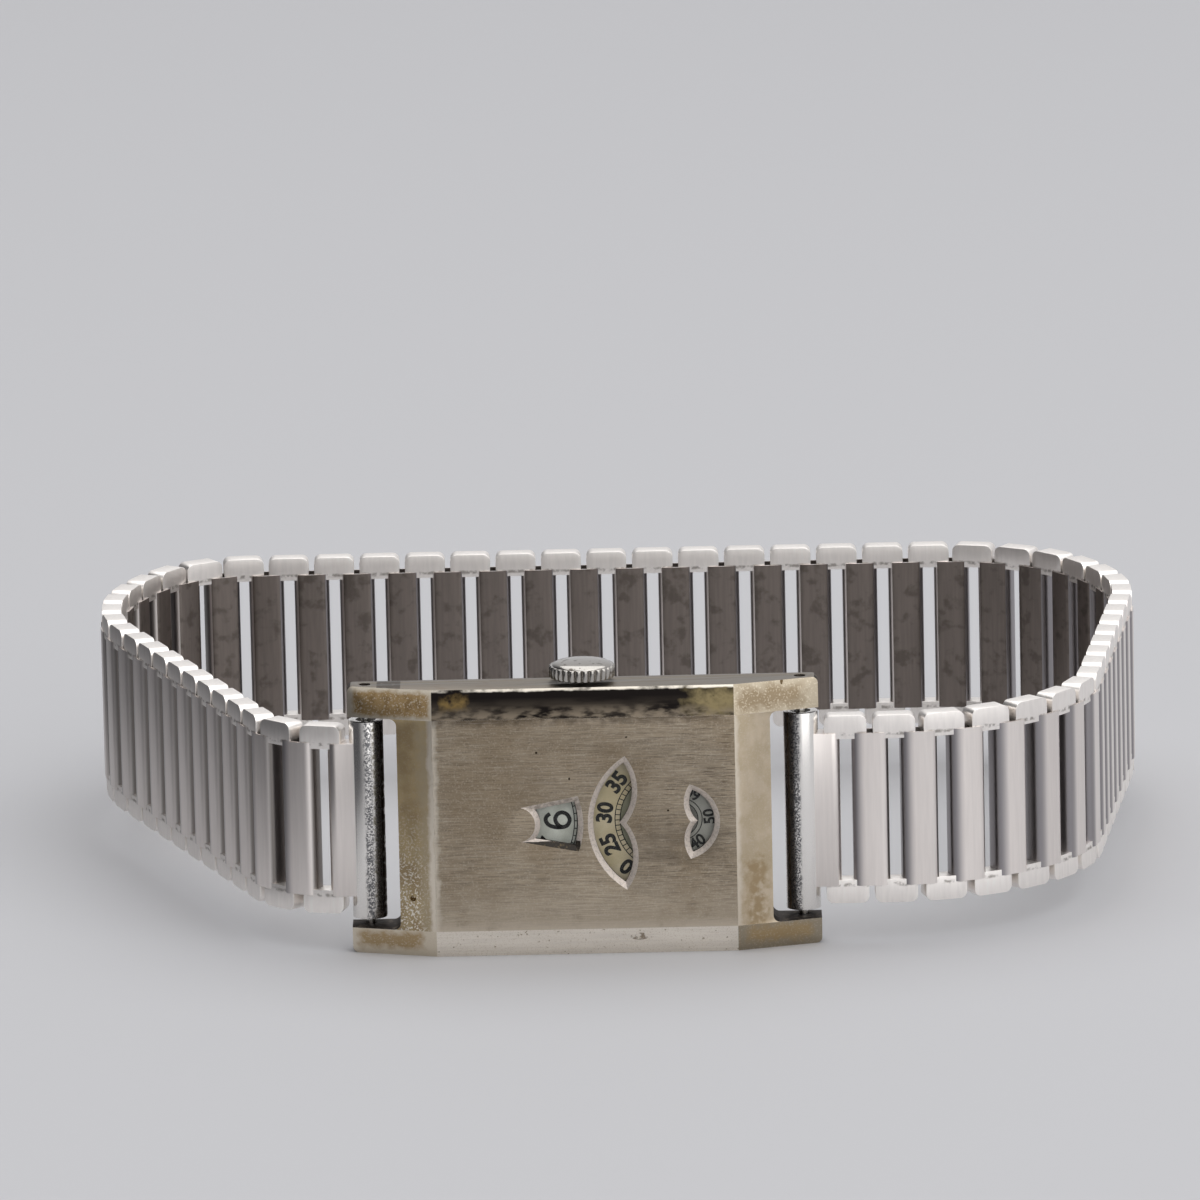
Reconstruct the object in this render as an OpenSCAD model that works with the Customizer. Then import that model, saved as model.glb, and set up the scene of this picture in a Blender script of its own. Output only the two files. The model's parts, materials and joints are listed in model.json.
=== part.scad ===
// Jumping hour wristwatch standing on its long flank, with an expanding bar bracelet.
// Frame: X right along the case, Y away from the viewer of the dial side, Z up to the crown.
// The origin is the middle of the flank that the watch stands on.

/* [Case] */
// Width of the case, which is its height as it stands
case_w = 23.0; // [21.5:0.1:25]
// Depth from the front panel to the back
case_d = 6.9; // [6.9:0.05:7.6]
// Length of the case body between the ears' notches
body_l = 31.4; // [30.4:0.1:34]
// Thickness of each ear
ear_w = 2.4; // [2.1:0.1:2.6]
// Length of the ears past the spring bars' axes
ear_end = 1.5; // [1.3:0.1:2]
// Length of the flat front panel
panel_l = 25.4; // [24.6:0.2:26.4]
// Width of the flat front panel
panel_w = 18.2; // [17.4:0.1:18.6]
// Depth from the front panel to the back edge of the case sides
side_d = 5.1; // [4.9:0.05:5.4]
// How far the ear tips lie behind the panel
end_drop = 2.3; // [1.8:0.1:2.6]
// How far the long edges lie behind the panel
side_drop = 1.1; // [0.8:0.1:1.3]
// Radius of the ear tips' corners
tip_r = 0.5; // [0.3:0.1:0.9]
// Radius of the notches' inner corners
notch_r = 0.6; // [0.3:0.1:0.9]
// Thickness of the front panel at the windows
panel_t = 0.6; // [0.5:0.05:0.65]
// Thickness of the case walls
wall_t = 1.1; // [0.9:0.05:1.25]
// Thickness of the case back
back_t = 0.6; // [0.5:0.05:0.7]
// Thickness that the long walls have more than the end walls
side_extra = 0.2; // [0.1:0.05:0.3]
// Step of the case back inside the case outline
back_step = 0.8; // [0.7:0.05:0.9]
// Depth of the case back's snap lip
lip_h = 0.5; // [0.3:0.05:0.6]

/* [Windows and discs] */
// Place along the case where the hour disc and the minute disc come closest
disc_split = -0.04; // [-0.3:0.02:0.3]
// Gap between the hour disc and the minute disc
disc_gap = 0.32; // [0.2:0.02:0.5]
// Gap between the hour disc and the end of the case's hollow
hour_edge = 1; // [0.9:0.05:1.2]
// Gap between the minute disc and the end of the case's hollow
minute_edge = 0.64; // [0.62:0.02:0.8]
// Distance of the seconds disc's centre from the minute disc's
seconds_off = 1.01; // [0.9:0.01:1.1]
// Radius of the seconds disc
seconds_r = 3.4; // [3.3:0.05:3.45]
// Half height of the hour window at its wide end
hour_win_wide = 2.48; // [2.2:0.02:2.6]
// Half height of the hour window at its narrow end
hour_win_narrow = 1.47; // [1.2:0.02:1.8]
// Distance of the hour window's narrow end from the hour disc's centre
hour_win_off = 1.5; // [1.3:0.05:1.7]
// Bulge of the hour window's narrow end into the window
hour_win_bulge = 1.2; // [0.8:0.05:1.3]
// Radius of the two lobes of the minute window
minute_lobe_r = 4.67; // [4.5:0.01:4.75]
// Place of the minute window's lobes from the disc's centre, along and across the case
minute_lobe_at = [-7.26, 2.85];
// Radius of the two lobes of the seconds window
seconds_lobe_r = 2.7; // [2.6:0.05:2.8]
// Place of the seconds window's lobes from the disc's centre, along and across the case
seconds_lobe_at = [2.98, 1.62];
// Width of the bright rim round each window
rim_w = 0.45; // [0.3:0.05:0.5]
// Depth of the rim
rim_h = 0.3; // [0.2:0.02:0.36]
// Thickness of the hour and minute discs
disc_t = 0.2; // [0.15:0.01:0.22]
// Thickness of the seconds disc
seconds_disc_t = 0.1; // [0.08:0.01:0.12]
// Thickness of the window glass
glass_t = 0.28; // [0.2:0.02:0.28]

/* [Crown] */
// Diameter of the crown
crown_d = 5.6; // [5:0.1:6.2]
// Height of the crown's knurled band
knurl_h = 1.05; // [0.9:0.05:1.6]
// Height of the crown's polished dome
dome_h = 0.45; // [0.3:0.05:0.7]
// Number of knurls round the crown
knurls = 28; // [20:1:36]
// Depth of the knurls
knurl_t = 0.14; // [0.08:0.01:0.2]
// Diameter of the winding stem
stem_d = 0.8; // [0.7:0.05:0.9]
// Depth of the stem's axis behind the main plate's back
stem_off = 0.2; // [0.15:0.01:0.25]
// Travel of the crown when it is pulled to set the time
pull_travel = 0.9; // [0.6:0.1:1]

/* [Movement] */
// Gap between the movement's screw heads and the case back
back_gap = 0.18; // [0.1:0.02:0.3]
// Width of the movement ring at its two ends
ring_end = 1; // [0.9:0.05:1.2]
// Width of the movement ring along its two sides
ring_side = 0.6; // [0.5:0.05:0.7]
// Teeth of the barrel
barrel_teeth = 60; // [56:4:72]
// Teeth of the centre wheel
centre_teeth = 60; // [56:4:64]
// Teeth of the third wheel
third_teeth = 56; // [49:7:63]
// Teeth of the fourth wheel
fourth_teeth = 60; // [54:6:66]
// Teeth of the cannon wheel and of the minute disc's wheel
cannon_teeth = 48; // [40:4:56]
// Teeth of the ratchet wheel
ratchet_teeth = 42; // [36:2:48]
// Teeth of the crown wheel
crown_wheel_teeth = 26; // [22:2:30]
// Height of the wheel teeth
tooth_h = 0.14; // [0.1:0.01:0.18]
// Thickness of the train wheels
wheel_t = 0.15; // [0.12:0.01:0.18]
// Radius of the balance wheel
balance_r = 3.3; // [3:0.05:3.4]
// Radius of the escape wheel
escape_r = 1.9; // [1.7:0.05:2]

/* [Bracelet] */
// Gap between the case body and the bracelet's end tubes
tube_gap = 1.15; // [0.9:0.05:1.4]
// Depth of the spring bars behind the panel
lug_y = 4.0; // [3.9:0.05:4.1]
// Diameter of the bracelet's end tubes
tube_d = 2.9; // [2.6:0.05:3]
// Gap between the bracelet's end tubes and each ear
tube_side = 0.6; // [0.4:0.05:0.9]
// Width of a bracelet bar along the bracelet
bar_w = 3.1; // [3:0.05:3.2]
// Thickness of a bracelet bar
bar_t = 2.0; // [1.9:0.05:2.2]
// Length of a bracelet bar
bar_l = 13.2; // [12.4:0.1:13.8]
// Wall of a bracelet bar
bar_wall = 0.2; // [0.16:0.01:0.22]
// Distance from bar to bar as the bracelet is stretched
pitch = 4.1; // [4.05:0.05:4.3]
// Height of an end link outside its bars
link_h = 1.4; // [1.1:0.05:1.7]
// Depth of an end link
link_t = 1.7; // [1.5:0.05:1.8]
// Diameter of an end link's legs
leg_d = 0.7; // [0.6:0.02:0.7]
// Length of an end link's legs inside the bars
leg_l = 3.0; // [2:0.1:4]
// Place of the loop's closing at the back along the case
close_x = 2; // [0:0.5:4]
// Depth of the loop at the back
loop_y = 71; // [66:1:76]
// Left strand: straight run, bend radius, direction, corner radius, turned direction, back radius
left_run = [1.5, 8, 70, 26.7, 123, 9];
// Right strand: straight run, bend radius, direction, corner radius, turned direction, back radius
right_run = [7.3, 17.7, 82.7, 24, 125, 14];
// Bars on each strand after which a new length of bracelet begins
left_split = [4, 13, 19];
// The same for the right strand
right_split = [6, 15, 22];

/* [Clearances] */
// Running clearance of an arbor in its hole
run_gap = 0.03; // [0.02:0.01:0.05]
// Gap between parts that lie close
part_gap = 0.1; // [0.06:0.01:0.12]

/* [Hidden] */
$fn = 64;
small = 0.01;
big = 60;
front_y = -case_d / 2;
mid_z = case_w / 2;
lug_x = body_l / 2 + tube_gap + tube_d / 2;
case_l = 2 * (lug_x + ear_end);
tube_l = case_w - 2 * ear_w - 2 * tube_side;
end_slope = end_drop / ((case_l - panel_l) / 2);
side_slope = side_drop / ((case_w - panel_w) / 2);
cavity_l = body_l - 2 * wall_t;
cavity_w = case_w - 2 * (wall_t + side_extra);
pocket_l = cavity_l - 1;
pocket_w = cavity_w - 3.4;
pocket_r = 2;
plate_l = cavity_l - 2 * ring_end;
plate_w = cavity_w - 2 * ring_side;
edge_x = plate_l / 2;
edge_z = plate_w / 2;
hour_r = (cavity_l / 2 - hour_edge + disc_split - disc_gap / 2) / 2;
hour_x = hour_r + hour_edge - cavity_l / 2;
hour_win_x = hour_x + hour_win_off;
hour_win_r = hour_r + 0.06;
minute_r = (cavity_l / 2 - minute_edge - disc_split - disc_gap / 2) / 2;
minute_x = cavity_l / 2 - minute_edge - minute_r;
seconds_x = minute_x + seconds_off;
back_l = body_l - 2 * back_step;
back_w = case_w - 2 * back_step;
pocket_y = panel_t + glass_t + 0.02;
glass_from = hour_win_x - 1.2;
glass_to = seconds_x + seconds_r + 0.55;
glass_l = glass_to - glass_from;
glass_w = 2 * (minute_r + 0.08);
glass_x = (glass_from + glass_to) / 2;
seconds_y = pocket_y + 0.08;
disc_y = seconds_y + seconds_disc_t + 0.08;
star_y = disc_y + disc_t + 0.06;
star_t = 0.18;
dial_wheel_y = star_y + star_t + 0.05;
dial_wheel_t = 0.25;
plate_y = dial_wheel_y + dial_wheel_t + part_gap;
cavity_y = plate_y - 0.05;
back_y = case_d - back_t;
barrel_h = 0.8;
barrel_bridge_t = 0.45;
ratchet_t = 0.25;
bridge_t = 0.6;
screw_head_t = 0.22;
works_t = barrel_h + barrel_bridge_t + ratchet_t + bridge_t + screw_head_t + part_gap + 0.2;
train_y = back_y - back_gap - works_t;
stem_y = train_y + stem_off;
barrel_y = train_y + part_gap;
centre_wheel_y = barrel_y + barrel_h + 0.05;
barrel_bridge_y = centre_wheel_y + 0.05;
ratchet_y = barrel_bridge_y + barrel_bridge_t + 0.05;
third_wheel_y = train_y + 0.25;
fourth_wheel_y = centre_wheel_y - 0.2;
escape_y = centre_wheel_y + 0.25;
balance_y = escape_y + 0.25;
balance_t = 0.2;
hairspring_y = balance_y + balance_t + 0.1;
hairspring_t = 0.15;
cock_y = hairspring_y + hairspring_t + 0.1;
bridge_y = ratchet_y + ratchet_t + 0.05;
screw_r = 0.55;
boss_r = 1.9;
post_r = 0.3;
pipe_r = 0.6;
arbor_r = 0.3;
thin_arbor_r = 0.15;
seconds_arbor_r = 0.22;
hub_r = 2.5;
star_teeth = 12;
star_tip_r = 3.9;
star_root_r = 3.0;
finger_reach = -hour_x - star_tip_r - 0.06;
escape_teeth = 15;
centre_leaves = 8;
third_leaves = 8;
fourth_leaves = 7;
escape_leaves = 6;
setting_teeth = 15;
centre_at = [0, 0];
barrel_at = [-5.4, -1.2];
third_at = [4.75, 2.2];
fourth_at = [seconds_x, 0];
escape_at = fourth_at + 3.3 * [cos(-40), sin(-40)];
balance_at = [5.3, balance_r + 0.4 - edge_z];
pallet_at = escape_at + 2.3 * toward(escape_at, balance_at);
crown_wheel_at = [0, 3.45];
hour_at = [hour_x, 0];
minute_at = [minute_x, 0];
setting_at = [0, minute_x / 2 * (1 + setting_teeth / cannon_teeth)];
jumper_at = hour_at + [-4.5, 4.6];
click_at = barrel_at + [-5.2, -3];
bridge_in = 0.5;
pillar_in = 1.8;
barrel_pillars = [[1.4 - edge_x, edge_z - pillar_in], [1.4 - edge_x, pillar_in - edge_z],
    [-3, pillar_in - edge_z]];
train_pillars = [[3.1, edge_z - 1.3], [edge_x - 1.3, edge_z - 2], [edge_x - 1.3, 3]];
cock_pillar = [edge_x - 2.2, pillar_in - edge_z];
stud_at = balance_at + [-2.2, 0];
pinion_z = 5.5;
pinion_l = 1.3;
pinion_r = ratchet_y - stem_y - 0.05;
clutch_l = 1.0;
clutch_r = 0.72;
clutch_z = pinion_z - clutch_l - 0.05;
stem_z = clutch_z - pull_travel - 0.1;
crown_z = case_w / 2 + 0.35;
bore_l = ear_w + 2;
lug_hole_r = 0.5;
lug_tip_r = 0.42;
spring_bar_r = 0.75;
tube_bore_r = 0.85;
end_bar_s = tube_d / 2 + 0.25;
end_bar_w = bar_w;
bar_r = 0.7;
leg_x = bar_w / 2 - bar_wall - leg_d / 2 - 0.35;
leaf_t = 0.15;
link_gap = 0.1;
lug_at = [lug_x, front_y + lug_y];

// Plane geometry helpers
function toward(a, b) = (b - a) / norm(b - a);
function angle_of(v) = atan2(v[1], v[0]);
function gear_radius(teeth, other_teeth, a, b) = norm(b - a) * teeth / (teeth + other_teeth);

// Wheel outline with pointed teeth, one tooth at angle phase
function gear_points(teeth, r, phase, h) = [for (i = [0 : 2 * teeth - 1])
    let (a = phase + 180 * i / teeth, q = r + (i % 2 == 0 ? h / 2 : -h / 2) - 0.015)
    [q * cos(a), q * sin(a)]];

module rounded_rect(l, w, r) {
    square([l - 2 * r, w], center = true);
    square([l, w - 2 * r], center = true);
    for (sx = [-1, 1], sz = [-1, 1])
        translate([sx * (l / 2 - r), sz * (w / 2 - r)]) circle(r, $fn = 32);
}

// Case frame: x along the case, depth behind the panel, height above the middle
module in_case() {
    translate([0, front_y, mid_z]) children();
}

// Flat shape in the case frame between two depths
module slab(from, to) {
    translate([0, to, 0]) rotate([90, 0, 0]) linear_extrude(to - from) children();
}

// Round solid in the case frame between two depths
module drum(at, r, from, to) {
    slab(from, to) translate(at) circle(r);
}

module gear(at, teeth, r, phase, from, to) {
    slab(from, to) translate(at) polygon(gear_points(teeth, r, phase, tooth_h));
}

// Wheel with a hub and spokes, cut from a toothed blank
module spoked_wheel(at, teeth, r, phase, from, to, spokes) {
    rim = 0.12 * r + 0.25;
    slab(from, to) translate(at) difference() {
        polygon(gear_points(teeth, r, phase, tooth_h));
        difference() {
            circle(r - rim);
            circle(0.18 * r + 0.25);
            for (i = [0 : spokes - 1]) rotate(i * 360 / spokes)
                translate([0, -0.08 * r]) square([r, 0.16 * r]);
        }
    }
}

// Half space in front of a facet that starts at a panel edge or corner
module in_front_of_facet(sx, sz, slope_x, slope_z) {
    a = sx * slope_x;
    b = sz * slope_z;
    n = norm([a, -1, b]);
    translate([sx * panel_l / 2, 0, sz * panel_w / 2])
        rotate([0, acos(b / n), atan2(-1, a)])
            translate([-big, -big, 0]) cube([2 * big, 2 * big, big]);
}

// Section of a round cutter: sloping at the rim, then straight; way 1 widens it with depth
function rim_section(r, way) = [[0, -rim_h], [r - way * rim_w, -rim_h], [r + way * rim_w, rim_h],
    [r + way * rim_w, panel_t + small], [0, panel_t + small]];

module round_cut(at, r, way = -1) {
    translate([at[0], 0, at[1]]) rotate([-90, 0, 0]) rotate_extrude() polygon(rim_section(r, way));
}

// Cutter on the right-hand side of the line from a to b, with the rim's slope
module side_cut(a, b) {
    turn = angle_of(b - a);
    translate([a[0], 0, a[1]]) rotate([0, 90 - turn, 0]) linear_extrude(big, center = true)
        polygon([[-rim_w, -rim_h], [big, -rim_h], [big, panel_t + small],
            [rim_w, panel_t + small], [rim_w, rim_h]]);
}

module hour_window() {
    side = [[hour_win_x, hour_win_narrow], [hour_x + hour_win_r, hour_win_wide]];
    notch = (hour_win_narrow * hour_win_narrow + hour_win_bulge * hour_win_bulge) / (2 * hour_win_bulge);
    notch_at = [hour_win_x + hour_win_bulge - notch, 0];
    difference() {
        intersection() {
            round_cut(hour_at, hour_win_r);
            side_cut(side[0], side[1]);
            mirror([0, 0, 1]) side_cut(side[0], side[1]);
            translate([notch_at[0], -big / 2, -big / 2]) cube(big);
        }
        round_cut(notch_at, notch, 1);
    }
}

// Window with two round lobes, one above the other, inside a disc's edge
module lobed_window(at, r, lobe_at, lobe_r) {
    for (s = [-1, 1]) intersection() {
        round_cut(at, r);
        round_cut(at + [lobe_at[0], s * lobe_at[1]], lobe_r);
    }
}

module minute_window() {
    lobed_window(minute_at, minute_r - 0.12, minute_lobe_at, minute_lobe_r);
}

module seconds_window() {
    lobed_window(fourth_at, seconds_r - 0.1, seconds_lobe_at, seconds_lobe_r);
}

module case_outline() {
    difference() {
        rounded_rect(case_l, case_w, tip_r);
        for (s = [-1, 1])
            translate([s * (body_l / 2 + 5), 0]) rounded_rect(10, case_w - 2 * ear_w, notch_r);
    }
}

module case_front() {
    color([0.66, 0.62, 0.55]) in_case() difference() {
        slab(0, side_d) case_outline();
        for (s = [-1, 1]) {
            in_front_of_facet(s, 0, end_slope, 0);
            in_front_of_facet(0, s, 0, side_slope);
            for (t = [-1, 1]) in_front_of_facet(s, t, end_slope, side_slope);
        }
        slab(cavity_y, side_d + 1) rounded_rect(cavity_l, cavity_w, 1);
        slab(pocket_y, cavity_y + small) rounded_rect(pocket_l, pocket_w, pocket_r);
        slab(panel_t, pocket_y + small) translate([glass_x, 0]) square([glass_l, glass_w], center = true);
        hour_window();
        minute_window();
        seconds_window();
        for (sx = [-1, 1], sz = [-1, 1])
            translate([sx * lug_x, lug_y, sz * (case_w / 2 - ear_w / 2)])
                cylinder(h = bore_l, r = lug_hole_r, center = true);
        translate([0, stem_y, cavity_w / 2 - 1]) cylinder(h = case_w / 2, r = stem_d / 2 + part_gap);
    }
}

module case_back() {
    color([0.62, 0.6, 0.55]) in_case() {
        slab(back_y, case_d) rounded_rect(back_l, back_w, 1.2);
        slab(side_d, back_y) difference() {
            rounded_rect(back_l, back_w, 1.2);
            rounded_rect(cavity_l - 1.1, cavity_w - 1.1, 0.5);
        }
        slab(side_d - lip_h, side_d) difference() {
            rounded_rect(cavity_l - 0.1, cavity_w - 0.1, 0.95);
            rounded_rect(cavity_l - 1.1, cavity_w - 1.1, 0.5);
        }
    }
}

module window_glass() {
    color([0.85, 0.88, 0.88, 0.4]) in_case()
        slab(panel_t, panel_t + glass_t) translate([glass_x, 0])
            square([glass_l - 0.1, glass_w - 0.1], center = true);
}

module movement_ring() {
    color([0.55, 0.54, 0.5]) in_case() difference() {
        slab(cavity_y, side_d - lip_h - 0.02) difference() {
            rounded_rect(cavity_l - 0.06, cavity_w - 0.06, 0.97);
            rounded_rect(plate_l + 0.1, plate_w + 0.1, 0.6);
        }
        translate([0, stem_y, 0]) cylinder(h = case_w, r = stem_d / 2 + part_gap);
    }
}

module spring_bars() {
    color([0.7, 0.7, 0.7]) in_case() for (s = [-1, 1]) translate([s * lug_x, lug_y, 0]) {
        cylinder(h = tube_l - 0.4, r = spring_bar_r, center = true);
        cylinder(h = case_w - 2, r = lug_tip_r, center = true);
    }
}

module main_plate() {
    color([0.78, 0.68, 0.45]) in_case() difference() {
        union() {
            slab(plate_y, train_y) rounded_rect(plate_l, plate_w, 0.6);
            drum(minute_at, boss_r, disc_y - 0.04, plate_y + small);
            drum(hour_at, post_r, disc_y, plate_y + small);
            drum(setting_at, post_r, dial_wheel_y, plate_y + small);
            drum(jumper_at, post_r, star_y, plate_y + small);
        }
        drum(centre_at, arbor_r + run_gap, 0, case_d);
        drum(fourth_at, seconds_arbor_r + run_gap, 0, case_d);
        for (at = [barrel_at, third_at, escape_at, pallet_at, balance_at])
            drum(at, thin_arbor_r + run_gap, train_y - 0.6, case_d);
        translate([0, stem_y, stem_z - 0.1]) cylinder(h = case_w, r = stem_d / 2 + 0.06);
        translate([-pinion_r - 0.1, stem_y - pinion_r - 0.1, clutch_z - pull_travel - 0.1])
            cube([2 * pinion_r + 0.2, 4, pinion_z + pinion_l - clutch_z + pull_travel + 0.2]);
    }
}

// Post under a bridge, on the main plate
module pillar(at, r, to) {
    drum(at, r, train_y, to);
}

module train_bridge() {
    color([0.8, 0.72, 0.5]) in_case() difference() {
        union() {
            slab(bridge_y, bridge_y + bridge_t) {
                circle(1.3);
                translate([0, -1.3]) square([8, 2.6]);
                translate([2.1, -1.3]) square([edge_x - bridge_in - 2.1, edge_z - bridge_in + 1.3]);
                translate([9.3, -3.3]) square([edge_x - bridge_in - 9.3, 3]);
                translate(pallet_at) circle(0.9);
                translate([8.7, -3.4]) square([2, 3]);
            }
            for (at = train_pillars) pillar(at, 0.8, bridge_y + small);
        }
        drum(centre_at, arbor_r + run_gap, 0, bridge_y + 0.35);
        drum(fourth_at, seconds_arbor_r + run_gap, 0, bridge_y + 0.35);
        for (at = [third_at, escape_at, pallet_at])
            drum(at, thin_arbor_r + run_gap, 0, bridge_y + 0.35);
    }
}

module barrel_bridge() {
    color([0.8, 0.72, 0.5]) in_case() difference() {
        union() {
            slab(barrel_bridge_y, barrel_bridge_y + barrel_bridge_t) {
                translate([bridge_in - edge_x, bridge_in - edge_z])
                    square([edge_x - bridge_in - 1.5, 2 * (edge_z - bridge_in)]);
                translate([-2, 1]) square([4, edge_z - bridge_in - 1]);
                translate(crown_wheel_at) circle(2.2);
            }
            for (at = barrel_pillars) pillar(at, 0.9, barrel_bridge_y + small);
            drum(crown_wheel_at, 0.6, barrel_bridge_y, ratchet_y + ratchet_t);
            drum(click_at, post_r, barrel_bridge_y, ratchet_y + ratchet_t);
        }
        drum(barrel_at, 0.7 + run_gap, 0, case_d);
        drum(centre_at, gear_radius(centre_teeth, third_leaves, centre_at, third_at) + 0.25,
            0, centre_wheel_y + wheel_t + 0.06);
        drum(centre_at, arbor_r + 0.2, 0, case_d);
        slab(0, case_d) translate([-pinion_r - part_gap, pinion_z - part_gap])
            square([2 * (pinion_r + part_gap), pinion_l + 2 * part_gap]);
    }
}

module balance_cock() {
    reach = norm(cock_pillar - balance_at);
    color([0.8, 0.72, 0.5]) in_case() difference() {
        union() {
            slab(cock_y, bridge_y + bridge_t) {
                translate(balance_at) circle(1.2);
                translate(cock_pillar) circle(1.3);
                translate(balance_at) rotate(angle_of(cock_pillar - balance_at))
                    translate([0, -1]) square([reach, 2]);
                translate(stud_at) circle(0.35);
                translate(stud_at + [0, -0.25]) square([-stud_at[0] + balance_at[0], 0.5]);
            }
            pillar(cock_pillar, 1.1, cock_y + small);
            drum(stud_at, 0.2, hairspring_y, cock_y + small);
        }
        drum(balance_at, thin_arbor_r + run_gap, 0, bridge_y + 0.45);
    }
}

module bridge_screws() {
    color([0.35, 0.4, 0.55]) in_case() {
        for (at = barrel_pillars) screw(at, barrel_bridge_y + barrel_bridge_t);
        for (at = concat(train_pillars, [cock_pillar])) screw(at, bridge_y + bridge_t);
    }
}

// Screw head with its slot
module screw(at, from) {
    difference() {
        drum(at, screw_r, from, from + screw_head_t);
        slab(from + screw_head_t / 2, from + 1) translate(at) square([2 * screw_r + 1, 0.16], center = true);
    }
}

module barrel() {
    r = gear_radius(barrel_teeth, centre_leaves, barrel_at, centre_at);
    phase = angle_of(centre_at - barrel_at);
    color([0.75, 0.65, 0.4]) in_case() difference() {
        union() {
            gear(barrel_at, barrel_teeth, r, phase, barrel_y, barrel_y + 0.25);
            drum(barrel_at, r - 0.25, barrel_y, barrel_y + barrel_h);
        }
        drum(barrel_at, r - 0.45, barrel_y + 0.12, barrel_y + barrel_h - 0.12);
        drum(barrel_at, 0.5 + run_gap, 0, case_d);
    }
}

module barrel_arbor() {
    color([0.6, 0.6, 0.62]) in_case() {
        drum(barrel_at, 0.5, barrel_y - 0.04, barrel_y + 0.16);
        drum(barrel_at, 1.1, barrel_y + 0.16, barrel_y + barrel_h - 0.16);
        drum(barrel_at, 0.5, barrel_y + barrel_h - 0.16, barrel_bridge_y);
        drum(barrel_at, 0.7, barrel_bridge_y, ratchet_y);
        drum(barrel_at, 0.5, ratchet_y, ratchet_y + ratchet_t);
        drum(barrel_at, thin_arbor_r, barrel_y - 0.5, barrel_y);
        drum(barrel_at, 1, ratchet_y + ratchet_t, ratchet_y + ratchet_t + 0.2);
    }
}

// Spiral strip between two radii
module spiral(r_in, r_out, turns, t, steps) {
    pts = [for (i = [0 : steps]) let (a = 360 * turns * i / steps, r = r_in + (r_out - r_in) * i / steps)
        [r, a]];
    outer = [for (p = pts) (p[0] + t / 2) * [cos(p[1]), sin(p[1])]];
    inner = [for (i = [steps : -1 : 0]) (pts[i][0] - t / 2) * [cos(pts[i][1]), sin(pts[i][1])]];
    polygon(concat(outer, inner));
}

module mainspring() {
    r = gear_radius(barrel_teeth, centre_leaves, barrel_at, centre_at);
    color([0.45, 0.47, 0.55]) in_case()
        slab(barrel_y + 0.16, barrel_y + barrel_h - 0.16) translate(barrel_at)
            spiral(1.3, r - 0.6, 7, 0.12, 168);
}

module ratchet_wheel() {
    r = gear_radius(ratchet_teeth, crown_wheel_teeth, barrel_at, crown_wheel_at);
    phase = angle_of(crown_wheel_at - barrel_at);
    color([0.7, 0.7, 0.68]) in_case() difference() {
        gear(barrel_at, ratchet_teeth, r, phase, ratchet_y, ratchet_y + ratchet_t);
        drum(barrel_at, 0.5, 0, case_d);
    }
}

module crown_wheel() {
    r = gear_radius(crown_wheel_teeth, ratchet_teeth, barrel_at, crown_wheel_at);
    phase = angle_of(barrel_at - crown_wheel_at) + 180 / crown_wheel_teeth;
    color([0.7, 0.7, 0.68]) in_case() difference() {
        gear(crown_wheel_at, crown_wheel_teeth, r, phase, ratchet_y, ratchet_y + ratchet_t);
        drum(crown_wheel_at, 0.6 + run_gap, 0, case_d);
    }
}

module click() {
    r = gear_radius(ratchet_teeth, crown_wheel_teeth, barrel_at, crown_wheel_at) + tooth_h / 2 + 0.04;
    tip = barrel_at + r * toward(barrel_at, click_at + [0.6, 1.6]);
    color([0.6, 0.6, 0.62]) in_case() slab(ratchet_y, ratchet_y + ratchet_t) difference() {
        union() {
            translate(click_at) circle(0.65);
            polygon([click_at + [-0.6, 0.1], click_at + [0.5, 0.4], tip, tip + [-0.45, 0.1]]);
        }
        translate(click_at) circle(post_r + run_gap);
    }
}

// Toothed roller on the stem's axis
module stem_wheel(r, z, l, teeth) {
    translate([0, stem_y, z]) difference() {
        linear_extrude(l) polygon(gear_points(teeth, r - tooth_h / 2, 0, tooth_h));
        translate([0, 0, -1]) cylinder(h = l + 2, r = stem_d / 2 + run_gap);
    }
}

module winding_pinion() {
    color([0.68, 0.68, 0.66]) in_case() stem_wheel(pinion_r, pinion_z, pinion_l, 14);
}

module clutch_wheel() {
    color([0.68, 0.68, 0.66]) in_case() stem_wheel(clutch_r, clutch_z, clutch_l, 12);
}

module stem() {
    color([0.65, 0.65, 0.65]) in_case() translate([0, stem_y, stem_z])
        cylinder(h = crown_z + knurl_h - 0.3 - stem_z, r = stem_d / 2);
}

module crown() {
    r = crown_d / 2;
    color([0.75, 0.75, 0.73]) in_case() translate([0, stem_y, crown_z]) difference() {
        union() {
            linear_extrude(knurl_h) polygon([for (i = [0 : 2 * knurls - 1])
                let (q = r - (i % 2) * knurl_t, a = 180 * i / knurls) [q * cos(a), q * sin(a)]]);
            translate([0, 0, knurl_h]) rotate_extrude() polygon(concat([[0, 0]],
                [for (i = [0 : 8]) let (a = 90 * i / 8) [(r - 0.5) + 0.35 * cos(a), dome_h * 0.6 * sin(a)]],
                [[0, dome_h]]));
        }
        translate([0, 0, -1]) cylinder(h = knurl_h + 0.7, r = stem_d / 2);
    }
}

module centre_wheel() {
    r = gear_radius(centre_teeth, third_leaves, centre_at, third_at);
    pinion = gear_radius(centre_leaves, barrel_teeth, centre_at, barrel_at);
    color([0.82, 0.68, 0.35]) in_case() {
        spoked_wheel(centre_at, centre_teeth, r, angle_of(third_at - centre_at),
            centre_wheel_y, centre_wheel_y + wheel_t, 4);
        gear(centre_at, centre_leaves, pinion, angle_of(barrel_at - centre_at) + 180 / centre_leaves,
            train_y + 0.05, centre_wheel_y);
        drum(centre_at, arbor_r, star_y + 0.02, bridge_y + 0.3);
    }
}

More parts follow.
